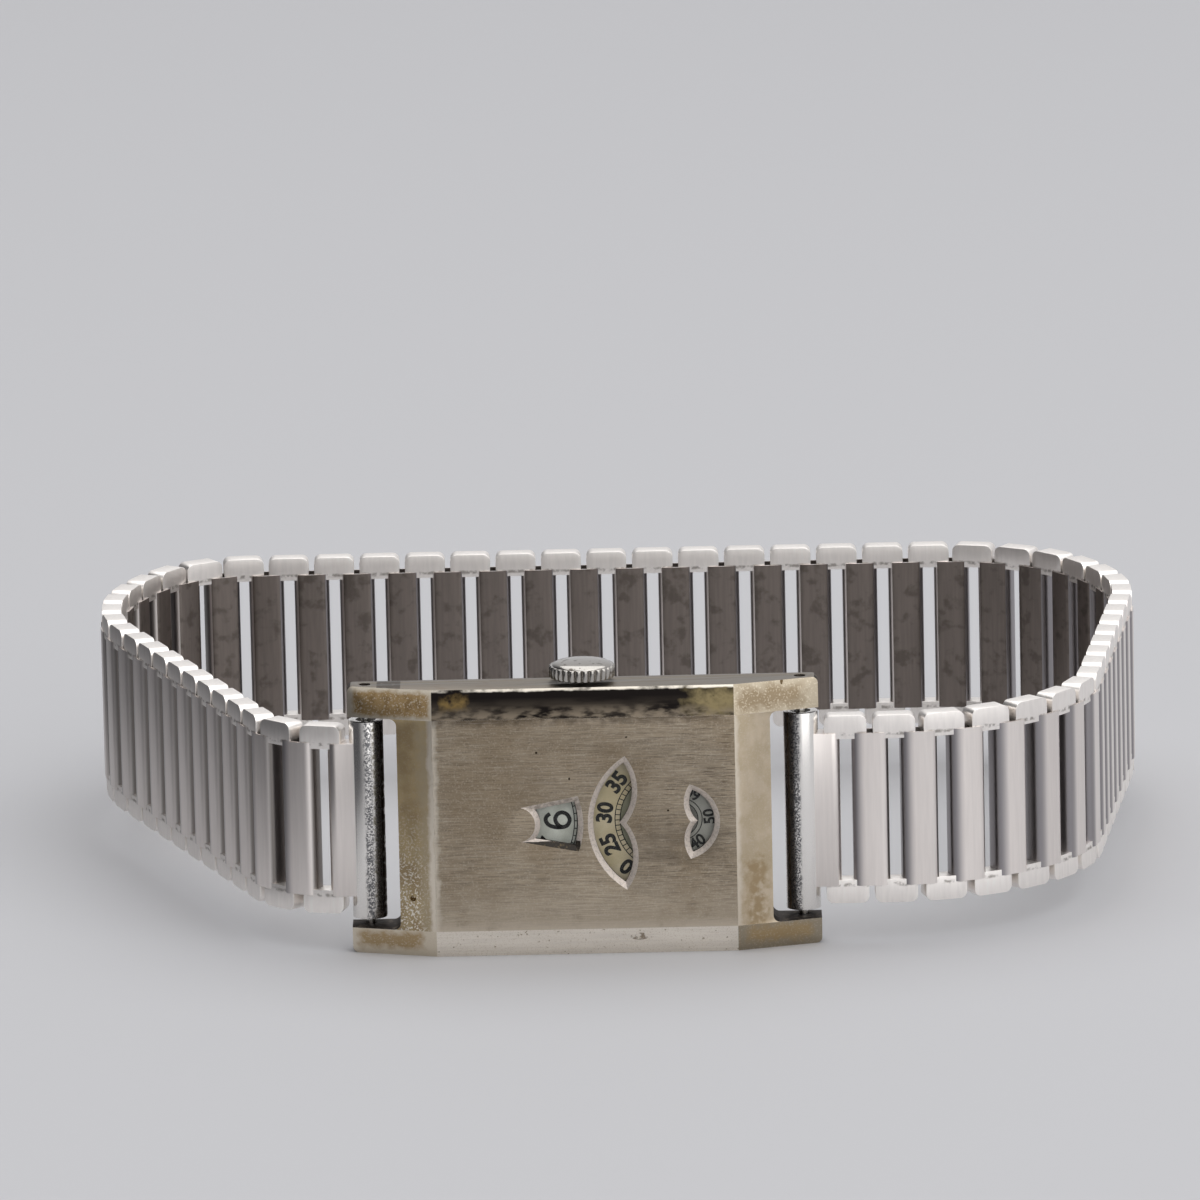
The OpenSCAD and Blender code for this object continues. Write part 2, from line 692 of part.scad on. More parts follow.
module third_wheel() {
    r = gear_radius(third_teeth, fourth_leaves, third_at, fourth_at);
    pinion = gear_radius(third_leaves, centre_teeth, third_at, centre_at);
    color([0.82, 0.68, 0.35]) in_case() {
        spoked_wheel(third_at, third_teeth, r, angle_of(fourth_at - third_at),
            third_wheel_y, third_wheel_y + wheel_t, 4);
        gear(third_at, third_leaves, pinion, angle_of(centre_at - third_at) + 180 / third_leaves,
            third_wheel_y + wheel_t, centre_wheel_y + 0.25);
        drum(third_at, thin_arbor_r, train_y - 0.5, bridge_y + 0.3);
    }
}

module fourth_wheel() {
    r = gear_radius(fourth_teeth, escape_leaves, fourth_at, escape_at);
    pinion = gear_radius(fourth_leaves, third_teeth, fourth_at, third_at);
    color([0.82, 0.68, 0.35]) in_case() {
        spoked_wheel(fourth_at, fourth_teeth, r, angle_of(escape_at - fourth_at),
            fourth_wheel_y, fourth_wheel_y + wheel_t, 4);
        gear(fourth_at, fourth_leaves, pinion, angle_of(third_at - fourth_at) + 180 / fourth_leaves,
            third_wheel_y - 0.1, fourth_wheel_y);
        drum(fourth_at, seconds_arbor_r, seconds_y, bridge_y + 0.3);
    }
}

module escape_wheel() {
    pinion = gear_radius(escape_leaves, fourth_teeth, escape_at, fourth_at);
    color([0.7, 0.7, 0.66]) in_case() {
        slab(escape_y, escape_y + wheel_t) translate(escape_at) difference() {
            polygon([for (i = [0 : escape_teeth - 1], k = [0, 1, 2])
                let (a = 360 * (i + [0, 0.12, 0.45][k]) / escape_teeth, q = [1, 1, 0.74][k] * escape_r)
                [q * cos(a), q * sin(a)]]);
            difference() {
                circle(0.62 * escape_r);
                circle(0.26 * escape_r);
                for (i = [0 : 3]) rotate(90 * i) translate([0, -0.1]) square([escape_r, 0.2]);
            }
        }
        gear(escape_at, escape_leaves, pinion, angle_of(fourth_at - escape_at) + 180 / escape_leaves,
            fourth_wheel_y - 0.1, escape_y);
        drum(escape_at, thin_arbor_r, train_y - 0.5, bridge_y + 0.3);
    }
}

module pallet_fork() {
    turn = angle_of(escape_at - pallet_at);
    reach = escape_r + 0.24;
    arm = 2.3 - reach * cos(30);
    half = reach * sin(30);
    lever = norm(balance_at - pallet_at) - 0.75;
    color([0.7, 0.7, 0.66]) in_case() {
        slab(escape_y, escape_y + wheel_t) translate(pallet_at) rotate(turn) {
            circle(0.35);
            translate([-0.12, -half - 0.1]) square([0.26, 2 * half + 0.2]);
            for (s = [-1, 1]) translate([0, s * half - 0.12]) square([arm + 0.05, 0.24]);
            translate([-lever, -0.1]) square([lever, 0.2]);
            for (s = [-1, 1]) translate([-lever - 0.2, s * 0.22 - 0.08]) square([0.4, 0.16]);
            translate([-lever, -0.3]) square([0.15, 0.6]);
        }
        drum(pallet_at, thin_arbor_r, train_y - 0.5, bridge_y + 0.3);
    }
}

module balance_wheel() {
    color([0.82, 0.68, 0.35]) in_case() {
        slab(balance_y, balance_y + balance_t) translate(balance_at) {
            difference() {
                circle(balance_r);
                circle(balance_r - 0.4);
            }
            square([2 * balance_r - 0.4, 0.4], center = true);
            circle(0.6);
        }
        drum(balance_at, 0.4, escape_y - 0.1, balance_y);
        drum(balance_at, thin_arbor_r, train_y - 0.5, bridge_y + 0.4);
    }
}

module hairspring() {
    color([0.3, 0.35, 0.55]) in_case()
        slab(hairspring_y, hairspring_y + hairspring_t) translate(balance_at) {
            spiral(0.4, 1.8, 6, 0.07, 144);
            difference() {
                circle(0.42);
                circle(thin_arbor_r);
            }
        }
}

module cannon_wheel() {
    r = minute_x / 2;
    color([0.8, 0.68, 0.4]) in_case() difference() {
        union() {
            gear(centre_at, cannon_teeth, r, 0, dial_wheel_y, dial_wheel_y + dial_wheel_t);
            drum(centre_at, 1, star_y, dial_wheel_y);
            slab(star_y, star_y + star_t) polygon([[0, -0.6], [0, 0.6],
                [finger_reach, 0.16], [finger_reach, -0.16]]);
        }
        drum(centre_at, arbor_r + 0.02, 0, case_d);
    }
}

module setting_wheel() {
    r = minute_x / 2 * setting_teeth / cannon_teeth;
    color([0.7, 0.7, 0.66]) in_case() difference() {
        gear(setting_at, setting_teeth, r, -90 + 180 / setting_teeth,
            dial_wheel_y, dial_wheel_y + dial_wheel_t);
        drum(setting_at, post_r + run_gap, 0, case_d);
    }
}

module minute_disc() {
    r = minute_x / 2;
    color([0.75, 0.72, 0.6]) in_case() difference() {
        union() {
            drum(minute_at, minute_r, disc_y, disc_y + disc_t);
            drum(minute_at, hub_r, disc_y + disc_t, dial_wheel_y + small);
            gear(minute_at, cannon_teeth, r, 180 - 180 / cannon_teeth,
                dial_wheel_y, dial_wheel_y + dial_wheel_t);
        }
        drum(minute_at, boss_r + run_gap, 0, case_d);
    }
}

module seconds_disc() {
    color([0.66, 0.66, 0.62]) in_case() difference() {
        drum(fourth_at, seconds_r, seconds_y, seconds_y + seconds_disc_t);
        drum(fourth_at, seconds_arbor_r, 0, case_d);
    }
}

module hour_disc() {
    color([0.68, 0.69, 0.62]) in_case() difference() {
        drum(hour_at, hour_r, disc_y, disc_y + disc_t);
        drum(hour_at, pipe_r, 0, case_d);
    }
}

module hour_star() {
    color([0.7, 0.7, 0.66]) in_case() difference() {
        union() {
            slab(star_y, star_y + star_t) translate(hour_at) polygon([for (i = [0 : 2 * star_teeth - 1])
                let (q = i % 2 == 1 ? star_tip_r : star_root_r, a = 180 * i / star_teeth)
                [q * cos(a), q * sin(a)]]);
            drum(hour_at, pipe_r, disc_y, star_y + small);
        }
        drum(hour_at, post_r + run_gap, 0, case_d);
    }
}

module hour_jumper() {
    nose = hour_at + (star_tip_r + 0.08) * toward(hour_at, jumper_at + [1, -2.6]);
    color([0.6, 0.6, 0.62]) in_case() slab(star_y, star_y + star_t) difference() {
        union() {
            translate(jumper_at) circle(0.7);
            polygon([jumper_at + [0.6, 0], jumper_at + [-0.6, 0], nose + [-0.5, 0],
                nose, nose + [0.1, 0.3]]);
            translate(jumper_at + [0, 0.4]) square([5, 0.25]);
        }
        translate(jumper_at) circle(post_r + run_gap);
    }
}

// Path of a strand in plan: it starts at the lug and turns back to the closing
function arc_end(p, h, len, turn) = abs(turn) < 0.001
    ? p + len * [cos(h), sin(h)]
    : let (r = len / turn * 180 / PI)
        p + r * [sin(h + turn) - sin(h), cos(h) - cos(h + turn)];
function arc_len(r, turn) = r * turn * PI / 180;

// Pieces of a strand as length and turn; the two straights are found from the loop's size
function strand(run, end_x) =
    let (bend = [arc_len(run[1], run[2]), run[2]],
        corner = [arc_len(run[3], run[4] - run[2]), run[4] - run[2]],
        back = [arc_len(run[5], 180 - run[4]), 180 - run[4]],
        a = arc_end([run[0], 0], 0, bend[0], bend[1]),
        b = arc_end(a, run[2], corner[0], corner[1]),
        c = arc_end(b, run[4], back[0], back[1]),
        depth = front_y + loop_y - lug_at[1],
        side_run = (depth - c[1]) / sin(run[2]),
        back_run = lug_at[0] + c[0] + side_run * cos(run[2]) - end_x)
    [[run[0], 0], bend, [side_run, 0], corner, back, [back_run, 0]];

function walk(parts, s, p = [0, 0], h = 0, i = 0) =
    let (len = parts[i][0], turn = parts[i][1])
    s <= len || i == len(parts) - 1
        ? concat(arc_end(p, h, s, turn * s / max(len, small)), [h + turn * s / max(len, small)])
        : walk(parts, s - len, arc_end(p, h, len, turn), h + turn, i + 1);

function total(parts, i = 0) = i >= len(parts) ? 0 : parts[i][0] + total(parts, i + 1);

left_parts = strand(left_run, -close_x);
right_parts = strand(right_run, close_x);
left_len = total(left_parts);
right_len = total(right_parts);
left_count = round((left_len - end_bar_s) / pitch - 0.5);
right_count = round((right_len - end_bar_s) / pitch - 0.5);
left_pitch = (left_len - end_bar_s) / (left_count + 0.5);
right_pitch = (right_len - end_bar_s) / (right_count + 0.5);

function parts_of(side) = side < 0 ? left_parts : right_parts;
function pitch_of(side) = side < 0 ? left_pitch : right_pitch;
function count_of(side) = side < 0 ? left_count : right_count;
function split_of(side) = side < 0 ? left_split : right_split;
function first_bar(side, part) = part == 1 ? 1 : split_of(side)[part - 2] + 1;
function last_bar(side, part) = part == 4 ? count_of(side) : split_of(side)[part - 1];

// Puts a shape at a place along a strand, with x along the strand and -y outwards
module along(side, s) {
    w = walk(parts_of(side), s);
    mirror([side < 0 ? 1 : 0, 0, 0]) translate([lug_at[0] + w[0], lug_at[1] + w[1], mid_z])
        rotate([0, 0, w[2]]) children();
}

function bar_s(side, i) = end_bar_s + i * pitch_of(side);
function span_of(side) = pitch_of(side) - 2 * leg_x;

// Place of the first link's inner leg, seen from the lug
function first_leg(side) = let (w = walk(parts_of(side), (bar_s(side, 0) + bar_s(side, 1)) / 2))
    [w[0] - span_of(side) / 2 * cos(w[2]), w[1] - span_of(side) / 2 * sin(w[2])];

module bar() {
    linear_extrude(bar_l, center = true) difference() {
        rounded_rect(bar_w, bar_t, bar_r);
        rounded_rect(bar_w - 2 * bar_wall, bar_t - 2 * bar_wall, bar_r - bar_wall);
    }
}

module bars(side, part) {
    color([0.68, 0.67, 0.65]) for (i = [first_bar(side, part) : last_bar(side, part)])
        along(side, bar_s(side, i)) bar();
}

// End link: a cap over two neighbouring bars with a leg into each
module link(span) {
    w = span + leg_d + 0.1;
    for (top = [1, -1]) mirror([0, 0, top < 0 ? 1 : 0]) translate([0, 0, bar_l / 2]) {
        translate([0, link_t / 2, link_gap]) rotate([90, 0, 0]) linear_extrude(link_t) {
            translate([-w / 2, 0]) square([w, link_h - 0.6]);
            translate([-w / 2 + 0.6, 0]) square([w - 1.2, link_h]);
            for (s = [-1, 1]) translate([s * (w / 2 - 0.6), link_h - 0.6]) circle(0.6, $fn = 32);
        }
        for (s = [-1, 1]) translate([s * span / 2, 0, -leg_l])
            cylinder(h = leg_l + link_gap, r = leg_d / 2, $fn = 32);
    }
}

module links(side, part) {
    first = part == 1 ? 0 : first_bar(side, part);
    last = part == 4 && side > 0 ? count_of(side) - 1 : last_bar(side, part);
    color([0.72, 0.71, 0.69]) for (i = [first : last])
        along(side, (bar_s(side, i) + bar_s(side, i + 1)) / 2) link(span_of(side));
}

// Leaf spring inside each bar, between the legs of its end links
module leaves(side, part) {
    l = bar_l - 2 * leg_l - 0.6;
    color([0.5, 0.5, 0.52]) for (i = [first_bar(side, part) : last_bar(side, part)])
        along(side, bar_s(side, i)) translate([0, bar_t / 2 - bar_wall - leaf_t, 0])
            cube([bar_w - 2 * bar_wall - 0.7, leaf_t, l], center = true);
}

module end_piece(side) {
    color([0.74, 0.74, 0.74]) along(side, 0) difference() {
        union() {
            cylinder(h = tube_l, r = tube_d / 2, center = true);
            translate([end_bar_s / 2, 0, 0])
                cube([end_bar_s, bar_t - 0.2, bar_l], center = true);
            translate([end_bar_s, 0, 0]) linear_extrude(bar_l, center = true)
                rounded_rect(end_bar_w, bar_t, bar_r);
        }
        cylinder(h = tube_l + 1, r = tube_bore_r, center = true);
        for (top = [1, -1]) translate(concat(first_leg(side), [top * bar_l / 2]))
            cylinder(h = 2 * leg_l + 0.2, r = leg_d / 2 + run_gap, center = true, $fn = 32);
    }
}

case_front();
case_back();
window_glass();
movement_ring();
spring_bars();
main_plate();
train_bridge();
barrel_bridge();
balance_cock();
bridge_screws();
barrel();
barrel_arbor();
mainspring();
ratchet_wheel();
click();
crown_wheel();
winding_pinion();
clutch_wheel();
stem();
crown();
centre_wheel();
third_wheel();
fourth_wheel();
escape_wheel();
pallet_fork();
balance_wheel();
hairspring();
cannon_wheel();
setting_wheel();
minute_disc();
seconds_disc();
hour_disc();
hour_star();
hour_jumper();
end_piece(-1);  // end_piece_left
end_piece(1);  // end_piece_right
bars(-1, 1);  // bars_left_1
bars(-1, 2);  // bars_left_2
bars(-1, 3);  // bars_left_3
bars(-1, 4);  // bars_left_4
bars(1, 1);  // bars_right_1
bars(1, 2);  // bars_right_2
bars(1, 3);  // bars_right_3
bars(1, 4);  // bars_right_4
links(-1, 1);  // links_left_1
links(-1, 2);  // links_left_2
links(-1, 3);  // links_left_3
links(-1, 4);  // links_left_4
links(1, 1);  // links_right_1
links(1, 2);  // links_right_2
links(1, 3);  // links_right_3
links(1, 4);  // links_right_4
leaves(-1, 1);  // leaves_left_1
leaves(-1, 2);  // leaves_left_2
leaves(-1, 3);  // leaves_left_3
leaves(-1, 4);  // leaves_left_4
leaves(1, 1);  // leaves_right_1
leaves(1, 2);  // leaves_right_2
leaves(1, 3);  // leaves_right_3
leaves(1, 4);  // leaves_right_4
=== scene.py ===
import json
import logging
import math
from dataclasses import dataclass, field
from enum import Enum

import bmesh
import bpy
from mathutils import Matrix, Vector


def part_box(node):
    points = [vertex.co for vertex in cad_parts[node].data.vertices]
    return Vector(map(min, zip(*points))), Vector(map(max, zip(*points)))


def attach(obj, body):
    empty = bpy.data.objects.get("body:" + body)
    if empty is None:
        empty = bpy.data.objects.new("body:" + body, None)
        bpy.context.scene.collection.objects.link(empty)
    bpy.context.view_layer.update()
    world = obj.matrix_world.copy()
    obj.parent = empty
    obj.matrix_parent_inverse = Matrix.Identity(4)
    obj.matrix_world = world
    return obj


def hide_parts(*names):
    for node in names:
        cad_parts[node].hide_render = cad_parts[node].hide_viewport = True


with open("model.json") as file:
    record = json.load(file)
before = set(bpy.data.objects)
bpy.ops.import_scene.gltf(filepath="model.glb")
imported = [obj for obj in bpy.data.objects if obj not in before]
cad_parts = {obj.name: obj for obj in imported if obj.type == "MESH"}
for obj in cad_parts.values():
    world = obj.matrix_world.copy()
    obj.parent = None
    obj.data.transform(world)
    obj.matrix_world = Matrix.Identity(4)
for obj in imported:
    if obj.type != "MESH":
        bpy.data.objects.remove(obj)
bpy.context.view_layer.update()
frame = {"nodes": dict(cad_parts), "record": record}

log = logging.getLogger("scene")
MM = 0.001
NODES = frame["nodes"]
BODY_OF = {node: body for body, nodes in frame["record"]["behaviour"]["bodies"].items() for node in nodes}

# Height of the case's long axis over the table, in millimetres
MIDDLE = sum(corner.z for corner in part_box("case_front")) / 2 / MM
# Middle of the bracelet's loop, in metres
LOOP_MIDDLE = Vector((2.0, 33.0, 0.0)) * MM
# Corners of a CAD mesh closer than this are one corner, in metres
JOIN_GAP = 0.0005 * MM
# Faces of a CAD mesh that turn less than this are one flat area, in degrees
FLAT_TURN = 0.6
# Size of the unevenness of a worn patch's edge, in millimetres
WOBBLE = 0.8
# Depth of a full-strength grain line, in millimetres
GRAIN_DEPTH = 0.02
# Share of a spot's radius over which it fades
SPOT_FADE = 0.02

Socket = bpy.types.NodeSocket
Colour = tuple[float, float, float, float]


# Colours, node trees and finishes


def linear(hex_code: str) -> Colour:
    """Turns an sRGB hex colour into linear RGBA."""
    values = [int(hex_code[i:i + 2], 16) / 255 for i in (0, 2, 4)]
    return (*[v / 12.92 if v <= 0.04045 else ((v + 0.055) / 1.055) ** 2.4 for v in values], 1.0)


@dataclass
class Graph:
    """A shader or geometry node tree that is filled one node at a time."""

    tree: bpy.types.NodeTree

    def add(self, kind: str, inputs: dict | None = None, output: int | str = 0,
            **props: object) -> Socket | None:
        """Adds a node.

        Args:
            kind: Blender's name of the node type.
            inputs: Values or output sockets, by the input's name or number. An input that takes several
                links has a list of sockets.
            output: Name or number of the output that is wanted.
            props: Other settings of the node.

        Returns:
            The output of the new node, or None where it has no outputs.
        """
        node = self.tree.nodes.new(kind)
        for key, value in props.items():
            setattr(node, key, value)
        for key, value in (inputs or {}).items():
            socket = node.inputs[key]
            for source in value if socket.is_multi_input else [value]:
                if isinstance(source, Socket):
                    self.tree.links.new(source, socket)
                else:
                    socket.default_value = source
        return node.outputs[output] if len(node.outputs) else None

    @classmethod
    def of_geometry(cls, name: str, inputs: dict[str, str]) -> "Graph":
        """Starts a geometry node tree.

        Args:
            name: Name of the tree.
            inputs: Kind of socket for each named input, such as Float.

        Returns:
            The graph, with nothing in it yet.
        """
        tree = bpy.data.node_groups.new(name, "GeometryNodeTree")
        for label, kind in inputs.items():
            tree.interface.new_socket(label, in_out="INPUT", socket_type=f"NodeSocket{kind}")
        tree.interface.new_socket("Geometry", in_out="OUTPUT", socket_type="NodeSocketGeometry")
        return cls(tree)


@dataclass(frozen=True)
class Layer:
    """A colour that lies over a finish where its pattern is strong.

    Sizes and places are in millimetres, in the part's own frame. The pattern shows fully where the noise is
    above high and not at all below low. A band keeps it between two values of one axis, a spot inside an
    ellipse given as (x, z, half width, half height), and a box inside (x from, x to, z from, z to), with
    edges as soft and as uneven as fade says.
    """

    colour: str
    size: float = 1.0
    low: float = 0.45
    high: float = 0.6
    stretch: tuple[float, float, float] = (1.0, 1.0, 1.0)
    detail: float = 4.0
    share: float = 1.0
    rough: float | None = None
    band: tuple[str, float, float] | None = None
    spot: tuple[float, float, float, float] | None = None
    box: tuple[float, float, float, float] | None = None
    fade: float = 0.15

    def mask(self, graph: Graph, place: Socket) -> Socket:
        """Works out how strongly the layer shows.

        Args:
            graph: The material's node tree.
            place: The Object coordinates.

        Returns:
            Its strength at each place, from 0 to 1.
        """
        sizes = tuple(self.size * s for s in self.stretch)
        pattern = noise(graph, place, sizes, self.detail)
        mask = graph.add("ShaderNodeMapRange", {0: pattern, 1: self.low, 2: self.high, 3: 0.0, 4: self.share},
                         interpolation_type="SMOOTHSTEP")
        limits = []
        if self.band:
            axis, start, end = self.band
            along = graph.add("ShaderNodeSeparateXYZ", {0: place}, axis)
            limits.append(graph.add("ShaderNodeMapRange", {0: along, 1: start * MM, 2: end * MM}))
        if self.spot:
            limits.append(self._in_spot(graph, place))
        if self.box:
            limits += self._in_box(graph, place)
        for limit in limits:
            mask = graph.add("ShaderNodeMath", {0: mask, 1: limit}, operation="MULTIPLY")
        return mask

    def _in_spot(self, graph: Graph, place: Socket) -> Socket:
        """Gives 1 inside the spot and 0 outside it.

        Args:
            graph: The material's node tree.
            place: The Object coordinates.

        Returns:
            The limit.
        """
        x, z, wide, high = self.spot
        off = graph.add("ShaderNodeVectorMath", {0: place, 1: (x * MM, 0, z * MM)}, operation="SUBTRACT")
        unit = graph.add("ShaderNodeVectorMath", {0: off, 1: (1 / (wide * MM), 0, 1 / (high * MM))},
                         operation="MULTIPLY")
        far = graph.add("ShaderNodeVectorMath", {0: unit}, "Value", operation="LENGTH")
        return graph.add("ShaderNodeMapRange", {0: far, 1: 1 + SPOT_FADE, 2: 1 - SPOT_FADE})

    def _in_box(self, graph: Graph, place: Socket) -> list[Socket]:
        """Gives 1 between the box's sides and 0 outside them, for each of its two axes.

        Args:
            graph: The material's node tree.
            place: The Object coordinates.

        Returns:
            The two limits.
        """
        x0, x1, z0, z1 = self.box
        middle = [(v + self.fade) * MM for v in ((x0 + x1) / 2, 0, (z0 + z1) / 2)]
        uneven = graph.add("ShaderNodeTexNoise", {"Vector": place, "Scale": 1 / (WOBBLE * MM), "Detail": 3.0},
                           "Color")
        moved = graph.add("ShaderNodeVectorMath", {0: uneven, 1: [2 * self.fade * MM] * 3, 2: place},
                          operation="MULTIPLY_ADD")
        off = graph.add("ShaderNodeVectorMath", {0: moved, 1: middle}, operation="SUBTRACT")
        away = graph.add("ShaderNodeVectorMath", {0: off}, operation="ABSOLUTE")
        limits = []
        for axis, half in (("X", (x1 - x0) / 2), ("Z", (z1 - z0) / 2)):
            side = graph.add("ShaderNodeSeparateXYZ", {0: away}, axis)
            limits.append(graph.add("ShaderNodeMapRange", {0: side, 1: (half + self.fade / 2) * MM,
                                                           2: (half - self.fade / 2) * MM}))
        return limits


def noise(graph: Graph, place: Socket, sizes: tuple[float, float, float], detail: float) -> Socket:
    """Makes noise.

    Args:
        graph: The material's node tree.
        place: The Object coordinates.
        sizes: Size of its features along each axis, in millimetres.
        detail: Steps of finer noise in it.

    Returns:
        The noise, mostly between 0.3 and 0.7.
    """
    scaled = graph.add("ShaderNodeVectorMath", {0: place, 1: [1 / (s * MM) for s in sizes]},
                       operation="MULTIPLY")
    return graph.add("ShaderNodeTexNoise", {"Vector": scaled, "Scale": 1.0, "Detail": detail}, "Fac")


def toned(graph: Graph, colour: Socket | Colour, value: Socket, span: tuple[float, float],
          amount: float) -> Socket:
    """Darkens and brightens a colour.

    Args:
        graph: The material's node tree.
        colour: The colour.
        value: What the tone follows.
        span: Values at which it is darkest and brightest.
        amount: How much darker and brighter it gets there.

    Returns:
        The new colour.
    """
    tone = graph.add("ShaderNodeMapRange", {0: value, 1: span[0], 2: span[1], 3: 1 - amount, 4: 1 + amount})
    base = colour if isinstance(colour, Socket) else colour[:3]
    return graph.add("ShaderNodeVectorMath", {0: base, "Scale": tone}, operation="SCALE")


@dataclass(frozen=True)
class Finish:
    """A real surface: its colour, its polish, the grain that tools left, and layers of wear and of painted
    light and shade.

    Grain is the size of its lines along each axis in millimetres. Sides are painted shade that shows towards
    one side of a piece, each with where it starts, where it is full, and its share, from -1 to 1 across it.
    """

    name: str
    colour: str
    rough: float = 0.35
    metal: float = 1.0
    layers: tuple[Layer, ...] = ()
    grain: tuple[float, float, float] | None = None
    grain_depth: float = 0.0
    grain_tone: float = 0.0
    piece_tone: float = 0.0
    sides: tuple[tuple[str, float, float, float], ...] = ()
    alpha: float = 1.0

    def build(self) -> bpy.types.Material:
        """Makes the material.

        Returns:
            The material, or the one made before under this name.
        """
        if self.name in bpy.data.materials:
            return bpy.data.materials[self.name]
        material = bpy.data.materials.new(self.name)
        material.use_nodes = True
        material.node_tree.nodes.clear()
        graph = Graph(material.node_tree)
        colour, rough = linear(self.colour), self.rough
        material.diffuse_color = colour
        surface = graph.add("ShaderNodeBsdfPrincipled", {"Base Color": colour, "Metallic": self.metal,
                                                         "Roughness": rough, "Alpha": self.alpha}, "BSDF")
        graph.add("ShaderNodeOutputMaterial", {"Surface": surface})
        wired = {}
        if self.layers or self.grain:
            place = graph.add("ShaderNodeTexCoord", output="Object")
        if self.grain:
            lines = noise(graph, place, self.grain, 2.0)
            colour = toned(graph, colour, lines, (0.35, 0.65), self.grain_tone)
            if self.grain_depth:
                wired["Normal"] = graph.add("ShaderNodeBump", {"Strength": self.grain_depth,
                                                               "Distance": GRAIN_DEPTH * MM, "Height": lines})
        for layer in self.layers:
            mask = layer.mask(graph, place)
            colour = graph.add("ShaderNodeMix", {0: mask, 6: colour, 7: linear(layer.colour)}, 2,
                               data_type="RGBA")
            if layer.rough is not None:
                rough = graph.add("ShaderNodeMix", {0: mask, 2: rough, 3: layer.rough})
        for shade, start, end, share in self.sides:
            across = graph.add("ShaderNodeAttribute", output="Fac", attribute_name="across")
            mask = graph.add("ShaderNodeMapRange", {0: across, 1: start, 2: end, 3: 0.0, 4: share},
                             interpolation_type="SMOOTHSTEP")
            colour = graph.add("ShaderNodeMix", {0: mask, 6: colour, 7: linear(shade)}, 2, data_type="RGBA")
        if self.piece_tone:
            own = graph.add("ShaderNodeAttribute", output="Fac", attribute_name="piece_tone")
            colour = toned(graph, colour, own, (0.0, 1.0), self.piece_tone)
        wired |= {"Base Color": colour, "Roughness": rough}
        for name, value in wired.items():
            if isinstance(value, Socket):
                graph.tree.links.new(value, surface.node.inputs[name])
        return material


# Finishes, whose brushed lines are drawn coarser than the real ones so that they show

# Nickelled panel, brushed along the case and worn warm grey by years of polishing, with painted light paling
# it towards the bottom, painted highlights along its left and lower creases and painted shade along its top
# crease
PANEL = Finish(
    "panel_brushed", "A09380", rough=0.36, grain=(1.6, 0.09, 0.09), grain_depth=0.3, grain_tone=0.22,
    layers=(Layer("8B7B64", size=5.0, low=0.4, high=0.65, share=0.6),
            Layer("C2B8A8", size=0.13, low=0.5, high=0.7, share=0.4),
            Layer("C9C0B2", size=1.0, stretch=(3.5, 0.09, 0.09), low=0.56, high=0.72, share=0.35,
                  rough=0.28),
            Layer("4E4136", size=1.0, stretch=(1.6, 0.08, 0.08), low=0.56, high=0.68, share=0.75,
                  band=("X", -1.0, 10.0)),
            Layer("5A4D40", size=0.4, stretch=(1.8, 0.2, 0.2), low=0.6, high=0.7, share=0.5),
            Layer("6E6457", size=2.0, stretch=(1.5, 1, 0.5), low=0.3, high=0.6, share=0.6,
                  box=(4.5, 11.5, 8.2, 11.6), fade=1.6),
            # painted light: paler towards the bottom of the panel
            Layer("CFC3B1", size=3.0, low=0.2, high=0.5, share=0.6, band=("Z", 7.0, 2.2)),
            # painted highlight along the lower crease
            Layer("D8CCBB", size=1.5, low=0.2, high=0.5, share=0.8, band=("Z", 3.2, 2.1)),
            # painted highlight along the left crease
            Layer("DCD3C4", size=1.5, low=0.2, high=0.4, share=0.75, box=(-12.85, -12.4, 2.2, 20.8),
                  fade=0.4),
            # painted shade along the top crease
            Layer("4A4036", size=1.5, low=0.2, high=0.45, share=0.7, box=(-13, 11.6, 20.3, 20.9),
                  fade=0.7),
            Layer("3A3028", size=0.3, low=0.3, high=0.4, spot=(-3.97, 17.7, 0.1, 0.09), rough=0.7),
            *(Layer("4A3F34", size=0.3, low=0.3, high=0.4, spot=pit, rough=0.7)
              for pit in ((-1.25, 15.4, 0.08, 0.12), (3.6, 18.9, 0.1, 0.07), (7.0, 12.5, 0.1, 0.09)))))
# Upper bevel, almost black, partly from old tarnish and partly a painted dark reflection, paler towards the
# panel's crease, with a painted highlight along its top edge
TOP_BEVEL = Finish(
    # near-black base colour: tarnish together with a painted dark reflection of the room
    "bevel_tarnish_and_dark_reflection", "1A1716", rough=0.42,
    layers=(Layer("4A433B", size=2.5, stretch=(2.5, 1, 0.5), low=0.35, high=0.6, share=0.7,
                  band=("Z", 22.3, 21.5)),
            Layer("8A7E6E", size=0.8, stretch=(1.6, 1, 0.6), low=0.35, high=0.6, share=0.8,
                  band=("Z", 21.7, 20.8), rough=0.45),
            Layer("78643F", size=0.6, low=0.25, high=0.5, share=0.9, box=(-11.9, -9.8, 21.5, 22.3),
                  fade=0.7, rough=0.5),
            Layer("877A5A", size=0.9, low=0.15, high=0.45, share=0.9, box=(9.0, 12.9, 21.0, 22.6),
                  fade=1.5, rough=0.5),
            # painted highlight along the bevel's top edge
            Layer("E0D8CA", size=2.0, low=0.3, high=0.5, box=(-12.7, 12.7, 22.8, 23.2), fade=0.12,
                  rough=0.3)))
# Lower bevel, bright satin metal with small pits
BOTTOM_BEVEL = Finish(
    "bevel_satin", "FCF5EA", rough=0.38, grain=(5.0, 0.2, 0.2), grain_depth=0.15, grain_tone=0.04,
    layers=(Layer("A8987F", size=0.35, low=0.68, high=0.78, detail=1.0),
            Layer("D8CCBA", size=0.12, low=0.5, high=0.7, share=0.5),
            Layer("8A7860", size=0.5, low=0.42, high=0.56, spot=(4.4, 1.6, 0.8, 0.35), share=0.8)))
